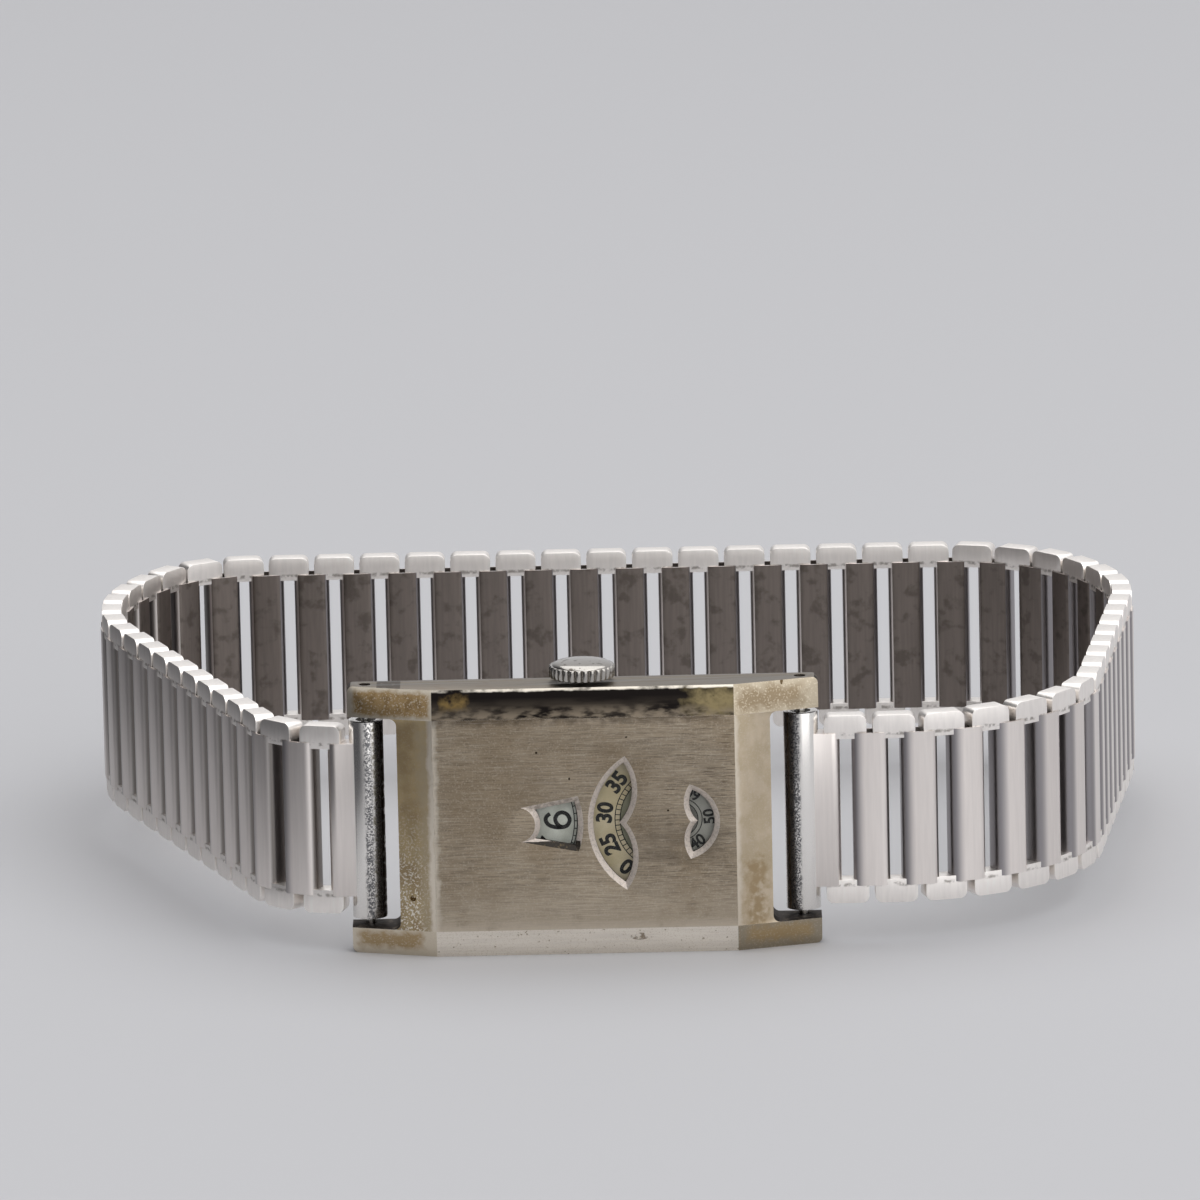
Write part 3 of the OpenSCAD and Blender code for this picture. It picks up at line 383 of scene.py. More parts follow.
# Ends of the panel, tan tarnish with silver specks that thicken toward the standing side, and a painted
# highlight along the crease with the panel
END_LEFT = Finish(
    "end_tarnished", "C0AC86", rough=0.45, grain=(0.9, 0.9, 3.0), grain_tone=0.06,
    layers=(Layer("A48E6C", size=2.2, low=0.4, high=0.62, share=0.7),
            Layer("C2B8A6", size=0.13, low=0.5, high=0.7, share=0.35),
            Layer("F4EEE2", size=0.17, low=0.52, high=0.6, band=("Z", 14.0, 5.0), rough=0.3),
            Layer("B7A98F", size=2.0, low=0.3, high=0.5, share=0.8, box=(-14.0, -12.6, 2.2, 20.8),
                  fade=0.7),
            # painted highlight along the crease with the panel
            Layer("E6DDCE", size=1.5, low=0.2, high=0.4, share=0.9, box=(-13.1, -12.6, 2.2, 20.8),
                  fade=0.3, rough=0.3),
            Layer("5A4428", size=0.3, low=0.4, high=0.5, spot=(-14.6, 5.2, 0.25, 0.25))))
# Right end, cream satin with brown mottling in its lower third, and a painted highlight along the crease with
# the panel
END_RIGHT = Finish(
    "end_cream", "CABBA4", rough=0.42, grain=(0.9, 0.9, 3.0), grain_tone=0.05,
    layers=(Layer("B8A88C", size=1.8, low=0.42, high=0.62, share=0.6),
            Layer("D2C8B8", size=0.13, low=0.5, high=0.7, share=0.35),
            Layer("A48E6C", size=0.6, low=0.3, high=0.55, share=0.85, box=(13.5, 15.2, 1.5, 8.2),
                  fade=0.9),
            # painted highlight along the crease with the panel
            Layer("DCD2C2", size=1.5, low=0.2, high=0.4, share=0.8, box=(12.6, 13.0, 2.2, 20.8), fade=0.3)))
# Ears of the left end, a brown patch of tarnish inside pale edges, partly worn white and partly a painted
# edge highlight
EAR_LEFT = Finish(
    "ear_brown", "E2D8C6", rough=0.36,
    # brown tarnish patch; the pale base left round it is worn edge and painted edge highlight
    layers=(Layer("A58C66", size=1.4, low=0.05, high=0.2, box=(-19.3, -12.9, 20.8, 22.75), fade=0.35,
                  rough=0.45),
            Layer("7E6645", size=0.9, low=0.46, high=0.62, share=0.6, box=(-19.2, -13.2, 21.1, 22.6),
                  fade=0.5),
            Layer("B39A72", size=0.9, low=0.05, high=0.3, share=0.9, box=(-19.2, -13.9, 0.7, 2.1),
                  fade=0.7, rough=0.45),
            Layer("D9CFBE", size=0.16, low=0.54, high=0.64, share=0.6)))
# Ears of the right end, paler and less tarnished
EAR_RIGHT = Finish(
    "ear_pale", "ADA28F", rough=0.42,
    layers=(Layer("84735A", size=1.4, low=0.1, high=0.5, share=0.8, box=(13.0, 18.7, 20.9, 22.6),
                  fade=0.8, rough=0.5),
            Layer("B8A078", size=0.9, low=0.05, high=0.3, share=0.85, box=(13.6, 18.9, 0.7, 2.1),
                  fade=0.7, rough=0.45),
            Layer("CFC4B0", size=0.16, low=0.54, high=0.66, share=0.5),
            Layer("5A4A34", size=0.5, low=0.3, high=0.45, spot=(16.75, 22.9, 0.12, 0.25))))
# Polished rims of the windows, nickel mottled by age, dark with tarnish under the hour window
RIM = Finish(
    "window_rim", "CFC4B9", rough=0.43, metal=0.45,
    layers=(Layer("85796F", size=0.22, low=0.5, high=0.62, share=0.6),
            Layer("EDE5DD", size=0.22, low=0.55, high=0.68, share=0.5, rough=0.34),
            Layer("231D15", size=0.35, low=0.05, high=0.3, share=0.97, box=(-5.8, -0.4, 8.5, 10.0),
                  fade=0.05, rough=0.6),
            Layer("6E6048", size=0.25, low=0.55, high=0.66, share=0.8, box=(-5.8, -0.4, 8.5, 10.0),
                  fade=0.05),
            Layer("958A7E", size=0.4, low=0.4, high=0.6, share=0.7, box=(-5.0, -0.3, 12.65, 14.2),
                  fade=0.1)))
# Rounded corners of the case, rubbed white by the hands and painted bright as an edge highlight
EDGE = Finish(
    "worn_edge_highlight", "F8F1E7", rough=0.36, metal=0.8,
    layers=(Layer("B0A28E", size=0.35, low=0.5, high=0.64),
            Layer("2A231A", size=0.3, low=0.15, high=0.4, share=0.95, box=(-5.6, -0.6, 8.5, 9.9),
                  fade=0.05)))
# Flanks and ends of the case, satin grey-beige
SIDE = Finish(
    "flank_satin", "827A6F", rough=0.38, grain=(4.0, 0.2, 0.3), grain_tone=0.05,
    layers=(Layer("7D7062", size=1.4, low=0.56, high=0.7, share=0.6),
            Layer("3E362E", size=0.4, low=0.3, high=0.45, spot=(-16.3, 23.0, 1.0, 0.6), share=0.8)))
# Walls that nobody can polish: window walls and the notches behind the tubes, dark with old oil
WALL = Finish("inner_wall", "3A3430", rough=0.6, layers=(Layer("6B6258", size=0.7, low=0.5, high=0.7),))
# Snap-on back, brushed stainless steel
BACK = Finish(
    "back_brushed", "B4B0AA", rough=0.34, grain=(6.0, 0.15, 0.15), grain_depth=0.2, grain_tone=0.05,
    layers=(Layer("8C8880", size=1.0, stretch=(6.0, 0.1, 0.1), low=0.62, high=0.74, share=0.5),))
# Crown, chromed over cut ridges, grey where the chrome is worn
CROWN = Finish(
    "crown_chrome", "B5B1AB", rough=0.14,
    layers=(Layer("6A645D", size=0.6, low=0.6, high=0.72, rough=0.3),))
# Lug tubes, chrome worn to a speckled blue-black stripe, with a gold-brown line beside it
TUBE = Finish(
    "tube_chrome", "F2EFEB", rough=0.24,
    layers=(Layer("44464D", size=0.14, low=0.36, high=0.58, share=0.9, box=(17.3, 18.15, 3, 20),
                  fade=0.2, rough=0.4),
            Layer("A38A60", size=0.4, low=0.3, high=0.5, share=0.8, box=(17.1, 17.25, 3, 20), fade=0.1,
                  rough=0.4),
            Layer("3C3F47", size=0.14, low=0.36, high=0.58, share=0.85, box=(-18.5, -17.8, 3, 20),
                  fade=0.2, rough=0.4),
            Layer("8C877A", size=0.3, low=0.4, high=0.6, box=(-17.8, -17.2, 3, 20), fade=0.2, rough=0.4),
            Layer("4A3C2E", size=0.6, low=0.3, high=0.5, box=(-17.15, -16.8, 3, 20), fade=0.1, rough=0.5)))
# Expanding bracelet sleeves, satin stainless steel with a faint pink cast, with painted shade towards both
# sides
BAR = Finish(
    "sleeve_satin", "F0E9E4", rough=0.32, grain=(0.25, 0.25, 4.0), grain_depth=0.1, grain_tone=0.025,
    # painted shade: blue-grey over the shoulder at across -1, and a dark line near the edge at across +1
    # where the next sleeve shades it
    piece_tone=0.05, sides=(("62616B", -0.25, -0.85, 0.72), ("3E3833", 0.82, 0.95, 0.75)))
# Skin side of the sleeves, dulled brown-grey
SKIN = Finish(
    "sleeve_skin_side", "857C76", rough=0.45, grain=(0.25, 0.25, 4.0), grain_tone=0.06,
    layers=(Layer("5E5750", size=1.2, low=0.5, high=0.68, share=0.6),))
# End links of the bracelet, paler and less polished than the sleeves, stained where they meet them
LINK = Finish(
    "link_satin", "FBF6F1", rough=0.4, grain=(0.3, 0.3, 2.0), grain_tone=0.03, piece_tone=0.03,
    layers=tuple(Layer("7A7168", size=0.5, low=0.4, high=0.62, share=0.7, box=(-90, 90, foot, foot + 0.25),
                       fade=0.16, rough=0.5) for foot in (17.9, 4.85)))
# Leaf springs, blued-grey spring steel
LEAF = Finish("leaf_spring", "77797F", rough=0.35, grain=(0.4, 0.4, 3.0), grain_tone=0.08)
# Spring bars, bright drawn steel
PIN = Finish("pin_bright", "D2D0CC", rough=0.18, grain=(0.3, 0.3, 2.0), grain_tone=0.05)
# Main plate, brass under a thin grained gilding
PLATE = Finish(
    "plate_brass", "C7A664", rough=0.4, grain=(0.35, 0.35, 0.35), grain_depth=0.2, grain_tone=0.08)
# Bridges, gilt brass brushed along the movement
BRIDGE = Finish(
    "bridge_gilt", "CDB57A", rough=0.34, grain=(5.0, 0.16, 0.16), grain_depth=0.2, grain_tone=0.07)
# Movement ring, plain turned brass
RING = Finish("ring_brass", "A88F5C", rough=0.42, grain=(1.5, 0.3, 1.5), grain_tone=0.06)
# Wheels, bright gilt brass
WHEEL = Finish("wheel_gilt", "D9B25C", rough=0.26, grain=(0.5, 0.5, 0.5), grain_tone=0.05)
# Polished steel of arbors, levers and winding wheels
STEEL = Finish("steel_polished", "BDBDBC", rough=0.22, grain=(0.4, 0.4, 0.4), grain_tone=0.05)
# Steel blued by heat
BLUED = Finish(
    "steel_blued", "26467E", rough=0.25,
    layers=(Layer("3A2F6B", size=1.0, low=0.5, high=0.65),))
# Cream dial paint, gone olive with age and greener inside the minute track
MINUTE_PAINT = Finish(
    "minute_cream", "E2D4B2", rough=0.55, metal=0.0,
    layers=(Layer("C8B98F", size=2.5, low=0.4, high=0.6, share=0.7),
            Layer("8F9079", size=1.5, low=0.1, high=0.2, share=0.9, spot=(7.04, 11.5, 4.1, 4.1))))
# Grey-green dial paint of the hour disc
HOUR_PAINT = Finish(
    "hour_grey", "F2F5E8", rough=0.55, metal=0.0,
    layers=(Layer("CCCFC0", size=2.0, low=0.4, high=0.6, share=0.7),))
# Grey dial paint of the seconds disc, darker in the middle
SECONDS_PAINT = Finish(
    "seconds_grey", "B3B2A8", rough=0.55, metal=0.0,
    layers=(Layer("9C9A8F", size=1.5, low=0.4, high=0.6, share=0.6),
            Layer("7C7A72", size=1.0, low=0.1, high=0.2, share=0.8, spot=(8.05, 11.5, 1.45, 1.45))))
# Printing ink of the dials, black and slightly raised
INK = Finish(
    "dial_ink", "171615", rough=0.5, metal=0.0,
    layers=(Layer("2C2A26", size=0.2, low=0.5, high=0.7),))
# Window sheets, thin clear glass, almost unseen
GLASS = Finish("window_clear", "20241F", rough=0.05, metal=0.0, alpha=0.07)
# Table of the studio, matt and pale
FLOOR = Finish("studio_table", "C4C4C6", rough=0.7, metal=0.0)

NODE_FINISH = {
    "case_back": BACK, "window_glass": GLASS, "movement_ring": RING, "spring_bars": PIN, "main_plate": PLATE,
    "train_bridge": BRIDGE, "barrel_bridge": BRIDGE, "balance_cock": BRIDGE, "bridge_screws": BLUED,
    "mainspring": BLUED, "hairspring": BLUED, "barrel": WHEEL, "centre_wheel": WHEEL, "third_wheel": WHEEL,
    "fourth_wheel": WHEEL, "balance_wheel": WHEEL, "cannon_wheel": WHEEL, "barrel_arbor": STEEL,
    "ratchet_wheel": STEEL, "click": STEEL, "crown_wheel": STEEL, "winding_pinion": STEEL,
    "clutch_wheel": STEEL, "stem": STEEL, "escape_wheel": STEEL, "pallet_fork": STEEL,
    "setting_wheel": STEEL, "hour_star": STEEL, "hour_jumper": STEEL, "minute_disc": MINUTE_PAINT,
    "hour_disc": HOUR_PAINT, "seconds_disc": SECONDS_PAINT,
}


# Meshes


def add_object(name: str, data: bpy.types.ID, *finishes: Finish) -> bpy.types.Object:
    """Puts a mesh, a text, a light or a camera in the scene.

    Args:
        name: Name of the object.
        data: What it shows.
        finishes: Finishes of a mesh.

    Returns:
        The object.
    """
    obj = bpy.data.objects.new(name, data)
    bpy.context.scene.collection.objects.link(obj)
    for finish in finishes:
        data.materials.append(finish.build())
    return obj


def evaluated(obj: bpy.types.Object) -> bpy.types.Mesh:
    """Gives what an object's text or modifiers make.

    Args:
        obj: The object.

    Returns:
        The mesh.
    """
    depsgraph = bpy.context.evaluated_depsgraph_get()
    depsgraph.update()
    return bpy.data.meshes.new_from_object(obj.evaluated_get(depsgraph))


def settle(obj: bpy.types.Object) -> bpy.types.Object:
    """Turns an object and its modifiers into a plain mesh.

    Args:
        obj: The object.

    Returns:
        The same object, without modifiers.
    """
    mesh = evaluated(obj)
    mesh.name = obj.name
    obj.modifiers.clear()
    obj.data = mesh
    return obj


def smooth(obj: bpy.types.Object, angle: float = 30.0) -> bpy.types.Object:
    """Shades an object smooth.

    Args:
        obj: The object.
        angle: Edges sharper than this stay sharp, in degrees.

    Returns:
        The same object.
    """
    obj.data.shade_smooth()
    obj.data.set_sharp_from_angle(angle=math.radians(angle))
    return obj


def soften(obj: bpy.types.Object, width: float, angle: float, segments: int = 2,
           material: int = -1) -> bpy.types.Object:
    """Rounds the sharp edges of an object.

    Args:
        obj: The object.
        width: Width of the rounding in millimetres.
        angle: Edges flatter than this stay as they are.
        segments: Steps across the rounding.
        material: Number of the material that the rounding gets, or -1 for its neighbour's.

    Returns:
        The same object, with a plain mesh.
    """
    bevel = obj.modifiers.new("soften", "BEVEL")
    bevel.width = width * MM
    bevel.segments = segments
    bevel.limit_method = "ANGLE"
    bevel.angle_limit = math.radians(angle)
    bevel.material = material
    bevel.miter_outer = "MITER_ARC"
    return smooth(settle(obj))


def grow(name: str, tree: bpy.types.NodeTree, values: dict[str, float],
         base: bpy.types.Mesh | None = None) -> bpy.types.Object:
    """Runs a geometry node tree and keeps its result as a plain mesh.

    Args:
        name: Name of the object.
        tree: The node tree.
        values: The tree's inputs by name.
        base: Mesh that goes into the tree, if it takes one.

    Returns:
        The object, at the origin.
    """
    obj = add_object(name, base or bpy.data.meshes.new(name))
    modifier = obj.modifiers.new("grow", "NODES")
    modifier.node_group = tree
    for socket in tree.interface.items_tree:
        if socket.item_type == "SOCKET" and socket.in_out == "INPUT" and socket.name in values:
            modifier[socket.identifier] = values[socket.name]
    return settle(obj)


def plain(bm: bmesh.types.BMesh, name: str) -> bpy.types.Mesh:
    """Turns a mesh in work into a finished one.

    Args:
        bm: The mesh in work, which is freed.
        name: Name of the mesh.

    Returns:
        The mesh.
    """
    mesh = bpy.data.meshes.new(name)
    bm.to_mesh(mesh)
    bm.free()
    return mesh


def merged(node: str) -> bmesh.types.BMesh:
    """Copies a CAD node's mesh with its loose corners joined.

    Args:
        node: Name of the CAD node.

    Returns:
        A mesh in work.
    """
    bm = bmesh.new()
    bm.from_mesh(NODES[node].data)
    bmesh.ops.remove_doubles(bm, verts=bm.verts, dist=JOIN_GAP)
    return bm


def whole(node: str) -> bmesh.types.BMesh:
    """Copies a CAD node's mesh with its flat areas made whole.

    Args:
        node: Name of the CAD node.

    Returns:
        A mesh in work.
    """
    bm = merged(node)
    bmesh.ops.dissolve_limit(bm, angle_limit=math.radians(FLAT_TURN), verts=bm.verts, edges=bm.edges)
    return bm


def islands(node: str) -> list[list[Vector]]:
    """Finds the corners of each separate piece in a CAD node, in the same order at every run.

    Args:
        node: Name of the CAD node.

    Returns:
        The corners of each piece, in metres.
    """
    bm = merged(node)
    bm.verts.index_update()
    seen, found = set(), []
    for start in bm.verts:
        if start.index in seen:
            continue
        seen.add(start.index)
        stack, group = [start], []
        while stack:
            vert = stack.pop()
            group.append(vert.co.copy())
            for near in (edge.other_vert(vert) for edge in vert.link_edges):
                if near.index not in seen:
                    seen.add(near.index)
                    stack.append(near)
        found.append(group)
    bm.free()
    return sorted(found, key=lambda group: tuple(round(v, 6) for v in sum(group, Vector()) / len(group)))


def show(obj: bpy.types.Object, body: str, slot: str, *nodes: str) -> bpy.types.Object:
    """Lets an object ride on a body, in place of CAD nodes, and logs it.

    Args:
        obj: The object.
        body: Name of the body.
        slot: Name of its material slot. It is not used.
        nodes: CAD nodes that it replaces.

    Returns:
        The same object.
    """
    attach(obj, body)
    if nodes:
        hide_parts(*nodes)
    log.info("%s: %d faces on %s", obj.name, len(obj.data.polygons), body)
    return obj


# Case


class Zone(Enum):
    """Areas of the case's front that took different wear and carry different painted light and shade."""

    PANEL = PANEL
    TOP = TOP_BEVEL
    BOTTOM = BOTTOM_BEVEL
    LEFT = END_LEFT
    RIGHT = END_RIGHT
    LEFT_EARS = EAR_LEFT
    RIGHT_EARS = EAR_RIGHT
    RIM = RIM
    SIDE = SIDE
    WALL = WALL
    EDGE = EDGE


@dataclass
class Case:
    """The case's front shell, with its edges rounded by wear and a finish for each zone.

    Level, sloped and square are the least part of a face's normal, from 0 to 1, that makes it count as level
    with the panel, as a bevel and as a flank.
    """

    node: str = "case_front"
    panel_half: tuple[float, float] = (12.7, 9.1)
    bevel_depth: float = 3.0
    flanks_from: tuple[float, float] = (18.0, 10.5)
    edge: float = 0.14
    edge_turn: float = 12.0
    level: float = 0.98
    sloped: float = 0.2
    square: float = 0.9
    level_play: float = 0.05

    def zone_of(self, face: bmesh.types.BMFace, front: float) -> Zone:
        """Says which zone a face belongs to.

        Args:
            face: The face.
            front: Depth of the panel, in millimetres.

        Returns:
            Its zone.
        """
        n, c = face.normal, face.calc_center_median() / MM
        across, up = abs(c.x), abs(c.z - MIDDLE)
        beside, over = across > self.panel_half[0], up > self.panel_half[1]
        if n.y < -self.level and c.y < front + self.level_play:
            return Zone.PANEL
        if n.y < -self.sloped and c.y < front + self.bevel_depth:
            if beside and over:
                return Zone.LEFT_EARS if c.x < 0 else Zone.RIGHT_EARS
            if beside:
                return Zone.LEFT if c.x < 0 else Zone.RIGHT
            if over:
                return Zone.TOP if n.z > 0 else Zone.BOTTOM
            return Zone.RIM
        flank_x, flank_z = self.flanks_from
        outside = abs(n.z) > self.square and up > flank_z or abs(n.x) > self.square and across > flank_x
        return Zone.SIDE if outside else Zone.WALL

    def build(self) -> None:
        """Makes the shell."""
        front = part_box(self.node)[0].y / MM
        bm = whole(self.node)
        zones = list(Zone)
        for face in bm.faces:
            face.material_index = zones.index(self.zone_of(face, front))
        shell = add_object("case_shell", plain(bm, "case_shell"), *[zone.value for zone in zones])
        soften(shell, self.edge, self.edge_turn, material=zones.index(Zone.EDGE))
        show(shell, BODY_OF[self.node], "case_metal", self.node)


@dataclass
class Crown:
    """The winding crown: a ring of rounded ridges under a low dome."""

    node: str = "crown"
    ridges: int = 28
    groove: float = 0.28
    roundness: float = 0.7
    band: float = 1.05
    steps: int = 8
    dome_turns: tuple[float, ...] = (0, 12, 26, 42, 58, 72, 83)

    def build(self) -> None:
        """Makes the crown."""
        low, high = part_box(self.node)
        centre = (low + high) / 2
        radius, base = (high.x - low.x) / 2 / MM, low.z / MM
        dome = high.z / MM - base - self.band
        bm = bmesh.new()
        loops = [self._loop(bm, centre, radius, base, *ring) for ring in self._rings(radius, dome)]
        count = self.ridges * self.steps
        for lower, upper in zip(loops, loops[1:]):
            for i in range(count):
                j = (i + 1) % count
                bm.faces.new((lower[i], lower[j], upper[j], upper[i]))
        bm.faces.new(loops[-1])
        bm.faces.new(loops[0][::-1])
        crown = smooth(add_object("crown_knurled", plain(bm, "crown_knurled"), CROWN), angle=40.0)
        show(crown, BODY_OF[self.node], "crown_metal", self.node)

    def _rings(self, radius: float, dome: float) -> list[tuple[float, float, float]]:
        """Lists the rings from the foot to the dome.

        Args:
            radius: The crown's radius, in millimetres.
            dome: Height of its dome, in millimetres.

        Returns:
            Height over the foot, share of the radius and share of the groove of each ring.
        """
        rings = [(0.0, 0.5, 0.0), (0.0, 0.9, 0.2), (0.08, 0.985, 0.8), (0.16, 1.0, 1.0),
                 (self.band - 0.14, 1.0, 1.0), (self.band - 0.04, 0.985, 0.8), (self.band, 0.955, 0.15)]
        inner = (radius - self.groove) / radius
        for a in (math.radians(turn) for turn in self.dome_turns):
            rings.append((self.band + dome * math.sin(a), inner * math.cos(a), 0.0))
        return rings

    def _loop(self, bm: bmesh.types.BMesh, centre: Vector, radius: float, base: float, height: float,
              share: float, depth: float) -> list[bmesh.types.BMVert]:
        """Makes one ring of corners.

        Args:
            bm: The mesh in work.
            centre: Middle of the crown, in metres.
            radius: The crown's radius, in millimetres.
            base: Height of its foot, in millimetres.
            height: Height of the ring over the foot.
            share: The ring's share of the radius.
            depth: Its share of the groove.

        Returns:
            The corners.
        """
        loop = []
        count = self.ridges * self.steps
        for i in range(count):
            a = math.tau * i / count
            wave = abs(math.sin(a * self.ridges / 2)) ** self.roundness
            r = radius * share - self.groove * depth * (1 - wave)
            loop.append(bm.verts.new((centre.x + r * math.cos(a) * MM, centre.y + r * math.sin(a) * MM,
                                      (base + height) * MM)))
        return loop


# Dials

# Middle line of the 6, in the units of its own drawing
SIX = ((1.42, 1.85), (1.2, 2.15), (0.83, 2.25), (0.42, 2.0), (0.2, 1.5), (0.15, 0.95), (0.27, 0.42),
       (0.62, 0.17), (0.95, 0.15), (1.33, 0.38), (1.5, 0.78), (1.36, 1.18), (0.98, 1.4), (0.6, 1.33),
       (0.3, 1.08), (0.17, 0.85))
# The 9 is the 6 turned half round
NINE = tuple((1.65 - x, 2.4 - y) for x, y in SIX)


def stroke(points: tuple[tuple[float, float], ...], line: float, steps: int = 6) -> bpy.types.Mesh:
    """Draws a smooth line of even width through points, as a flat closed solid one unit thick.

    Args:
        points: Places that the middle of the line passes through.
        line: Width of the line, in the units of the points.
        steps: Pieces between two points.

    Returns:
        The mesh.
    """
    path = []
    for i in range(len(points) - 1):
        a, b, c, d = (Vector(points[min(max(i + k, 0), len(points) - 1)]) for k in (-1, 0, 1, 2))
        for t in (s / steps for s in range(steps)):
            path.append(b + 0.5 * ((c - a) * t + (2 * a - 5 * b + 4 * c - d) * t * t
                                   + (3 * b - a - 3 * c + d) * t * t * t))
    path.append(Vector(points[-1]))
    bm = bmesh.new()
    rows = []
    for i, p in enumerate(path):
        way = (path[min(i + 1, len(path) - 1)] - path[max(i - 1, 0)]).normalized()
        side = Vector((-way.y, way.x)) * line / 2
        ring = ((p + side, -0.5), (p - side, -0.5), (p - side, 0.5), (p + side, 0.5))
        rows.append([bm.verts.new((q.x, q.y, z)) for q, z in ring])
    for a, b in zip(rows, rows[1:]):
        for i in range(4):
            bm.faces.new((a[i], a[(i + 1) % 4], b[(i + 1) % 4], b[i]))
    bm.faces.new(rows[0])
    bm.faces.new(rows[-1])
    bmesh.ops.recalc_face_normals(bm, faces=bm.faces)
    return plain(bm, "stroke")


@dataclass
class Dial:
    """A printed disc: numerals round its middle and, if it has one, a railroad track."""

    node: str
    centre_x: float
    slot: str
    numerals: dict[str, float]
    radius: float
    height: float
    turn: float
    bold: float
    track: tuple[float, float] | None = None
    rings: tuple[float, float] | None = None
    track_line: float = 0.075
    ticks: int = 60
    ink_lift: float = 0.004
    ink_thick: float = 0.012
    width_share: float = 1.0
    drawn: dict[str, tuple[tuple[float, float], ...]] = field(default_factory=dict)
    line: float = 0.36

    def build(self) -> None:
        """Prints the numerals and the track."""
        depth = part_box(self.node)[0].y / MM - self.ink_lift
        for label, angle in self.numerals.items():
            show(self._numeral(label, angle, depth), BODY_OF[self.node], self.slot)
        show(self._track(depth), BODY_OF[self.node], self.slot)

    def _numeral(self, label: str, angle: float, depth: float) -> bpy.types.Object:
        """Makes one numeral as a flat raised print.

        Args:
            label: What it says.
            angle: Its place round the disc, in degrees.
            depth: Depth of the print, in millimetres.

        Returns:
            The print.
        """
        drawn = self.drawn.get(label)
        mesh = stroke(drawn, self.line) if drawn else self._set(label)
        share = 1.0 if drawn else self.width_share
        corners = [v.co for v in mesh.vertices]
        low = Vector((min(c.x for c in corners), min(c.y for c in corners), 0))
        high = Vector((max(c.x for c in corners), max(c.y for c in corners), 0))
        scale = self.height / (high.y - low.y)
        a = math.radians(angle)
        place = Vector((self.centre_x + self.radius * math.cos(a), depth, MIDDLE + self.radius * math.sin(a)))
        mesh.transform(Matrix.Scale(MM, 4) @ Matrix.Translation(place)
                       @ Matrix.Rotation(-math.radians(angle + self.turn), 4, "Y")
                       @ Matrix.Rotation(math.radians(90), 4, "X")
                       @ Matrix.Diagonal((scale * share, scale, self.ink_thick, 1))
                       @ Matrix.Translation(-(low + high) / 2))
        mesh.name = f"print_{self.node}_{label}"
        return add_object(mesh.name, mesh, INK)

    def _set(self, label: str) -> bpy.types.Mesh:
        """Sets a numeral in the built-in font.

        Args:
            label: What it says.

        Returns:
            The mesh, one unit thick.
        """
        curve = bpy.data.curves.new(f"{self.node}_{label}", "FONT")
        curve.body = label
        curve.size = 1.0
        curve.offset = self.bold
        curve.extrude = 0.5
        curve.resolution_u = 6
        text = add_object(f"{self.node}_{label}", curve)
        mesh = evaluated(text)
        bpy.data.objects.remove(text)
        return mesh

    def _track(self, depth: float) -> bpy.types.Object:
        """Makes two thin circles by Geometry Nodes, with ticks between them if they are a track.

        Args:
            depth: Depth of the print, in millimetres.

        Returns:
            The print.
        """
        graph = Graph.of_geometry(f"{self.node}_track", {"Inner": "Float", "Outer": "Float", "Line": "Float",
                                                         "Ticks": "Int"})
        given = graph.add("NodeGroupInput").node.outputs
        inner, outer, line = given["Inner"], given["Outer"], given["Line"]
        thick = self.ink_thick * MM
        profile = graph.add("GeometryNodeCurvePrimitiveQuadrilateral", {"Width": line, "Height": thick})
        parts = []
        for radius in (inner, outer):
            circle = graph.add("GeometryNodeCurvePrimitiveCircle", {"Resolution": 180, "Radius": radius})
            parts.append(graph.add("GeometryNodeCurveToMesh", {"Curve": circle, "Profile Curve": profile}))
        if self.track:
            middle = graph.add("ShaderNodeMath", {0: inner, 1: outer}, operation="ADD")
            half = graph.add("ShaderNodeMath", {0: middle, 1: 0.5}, operation="MULTIPLY")
            long = graph.add("ShaderNodeMath", {0: outer, 1: inner}, operation="SUBTRACT")
            points = graph.add("GeometryNodeMeshCircle", {"Vertices": given["Ticks"], "Radius": half})
            size = graph.add("ShaderNodeCombineXYZ", {"X": long, "Y": line, "Z": thick})
            tick = graph.add("GeometryNodeMeshCube", {"Size": size})
            where = graph.add("GeometryNodeInputPosition")
            turned = graph.add("FunctionNodeAlignRotationToVector", {"Vector": where}, axis="X")
            parts.append(graph.add("GeometryNodeInstanceOnPoints", {"Points": points, "Instance": tick,
                                                                    "Rotation": turned}))
        both = graph.add("GeometryNodeJoinGeometry", {0: parts})
        real = graph.add("GeometryNodeRealizeInstances", {0: both})
        done = graph.add("GeometryNodeSetMaterial", {"Geometry": real, "Material": INK.build()})
        graph.add("NodeGroupOutput", {"Geometry": done})
        low, high = self.track or self.rings
        track = grow(f"print_{self.node}_track", graph.tree, {
            "Inner": low * MM, "Outer": high * MM, "Line": self.track_line * MM, "Ticks": self.ticks})
        track.data.transform(Matrix.Translation(Vector((self.centre_x, depth, MIDDLE)) * MM)
                             @ Matrix.Rotation(math.radians(90), 4, "X"))
        return track


# Bracelet


class Side(Enum):
    """Ends of the case, and the strand that starts there."""

    LEFT = "left"
    RIGHT = "right"


class Kind(Enum):
    """Pieces of a strand: first word of their node, finish and slot."""

    SLEEVES = ("bars", BAR, "bar_metal")
    LINKS = ("links", LINK, "link_metal")
    LEAVES = ("leaves", LEAF, "leaf_metal")


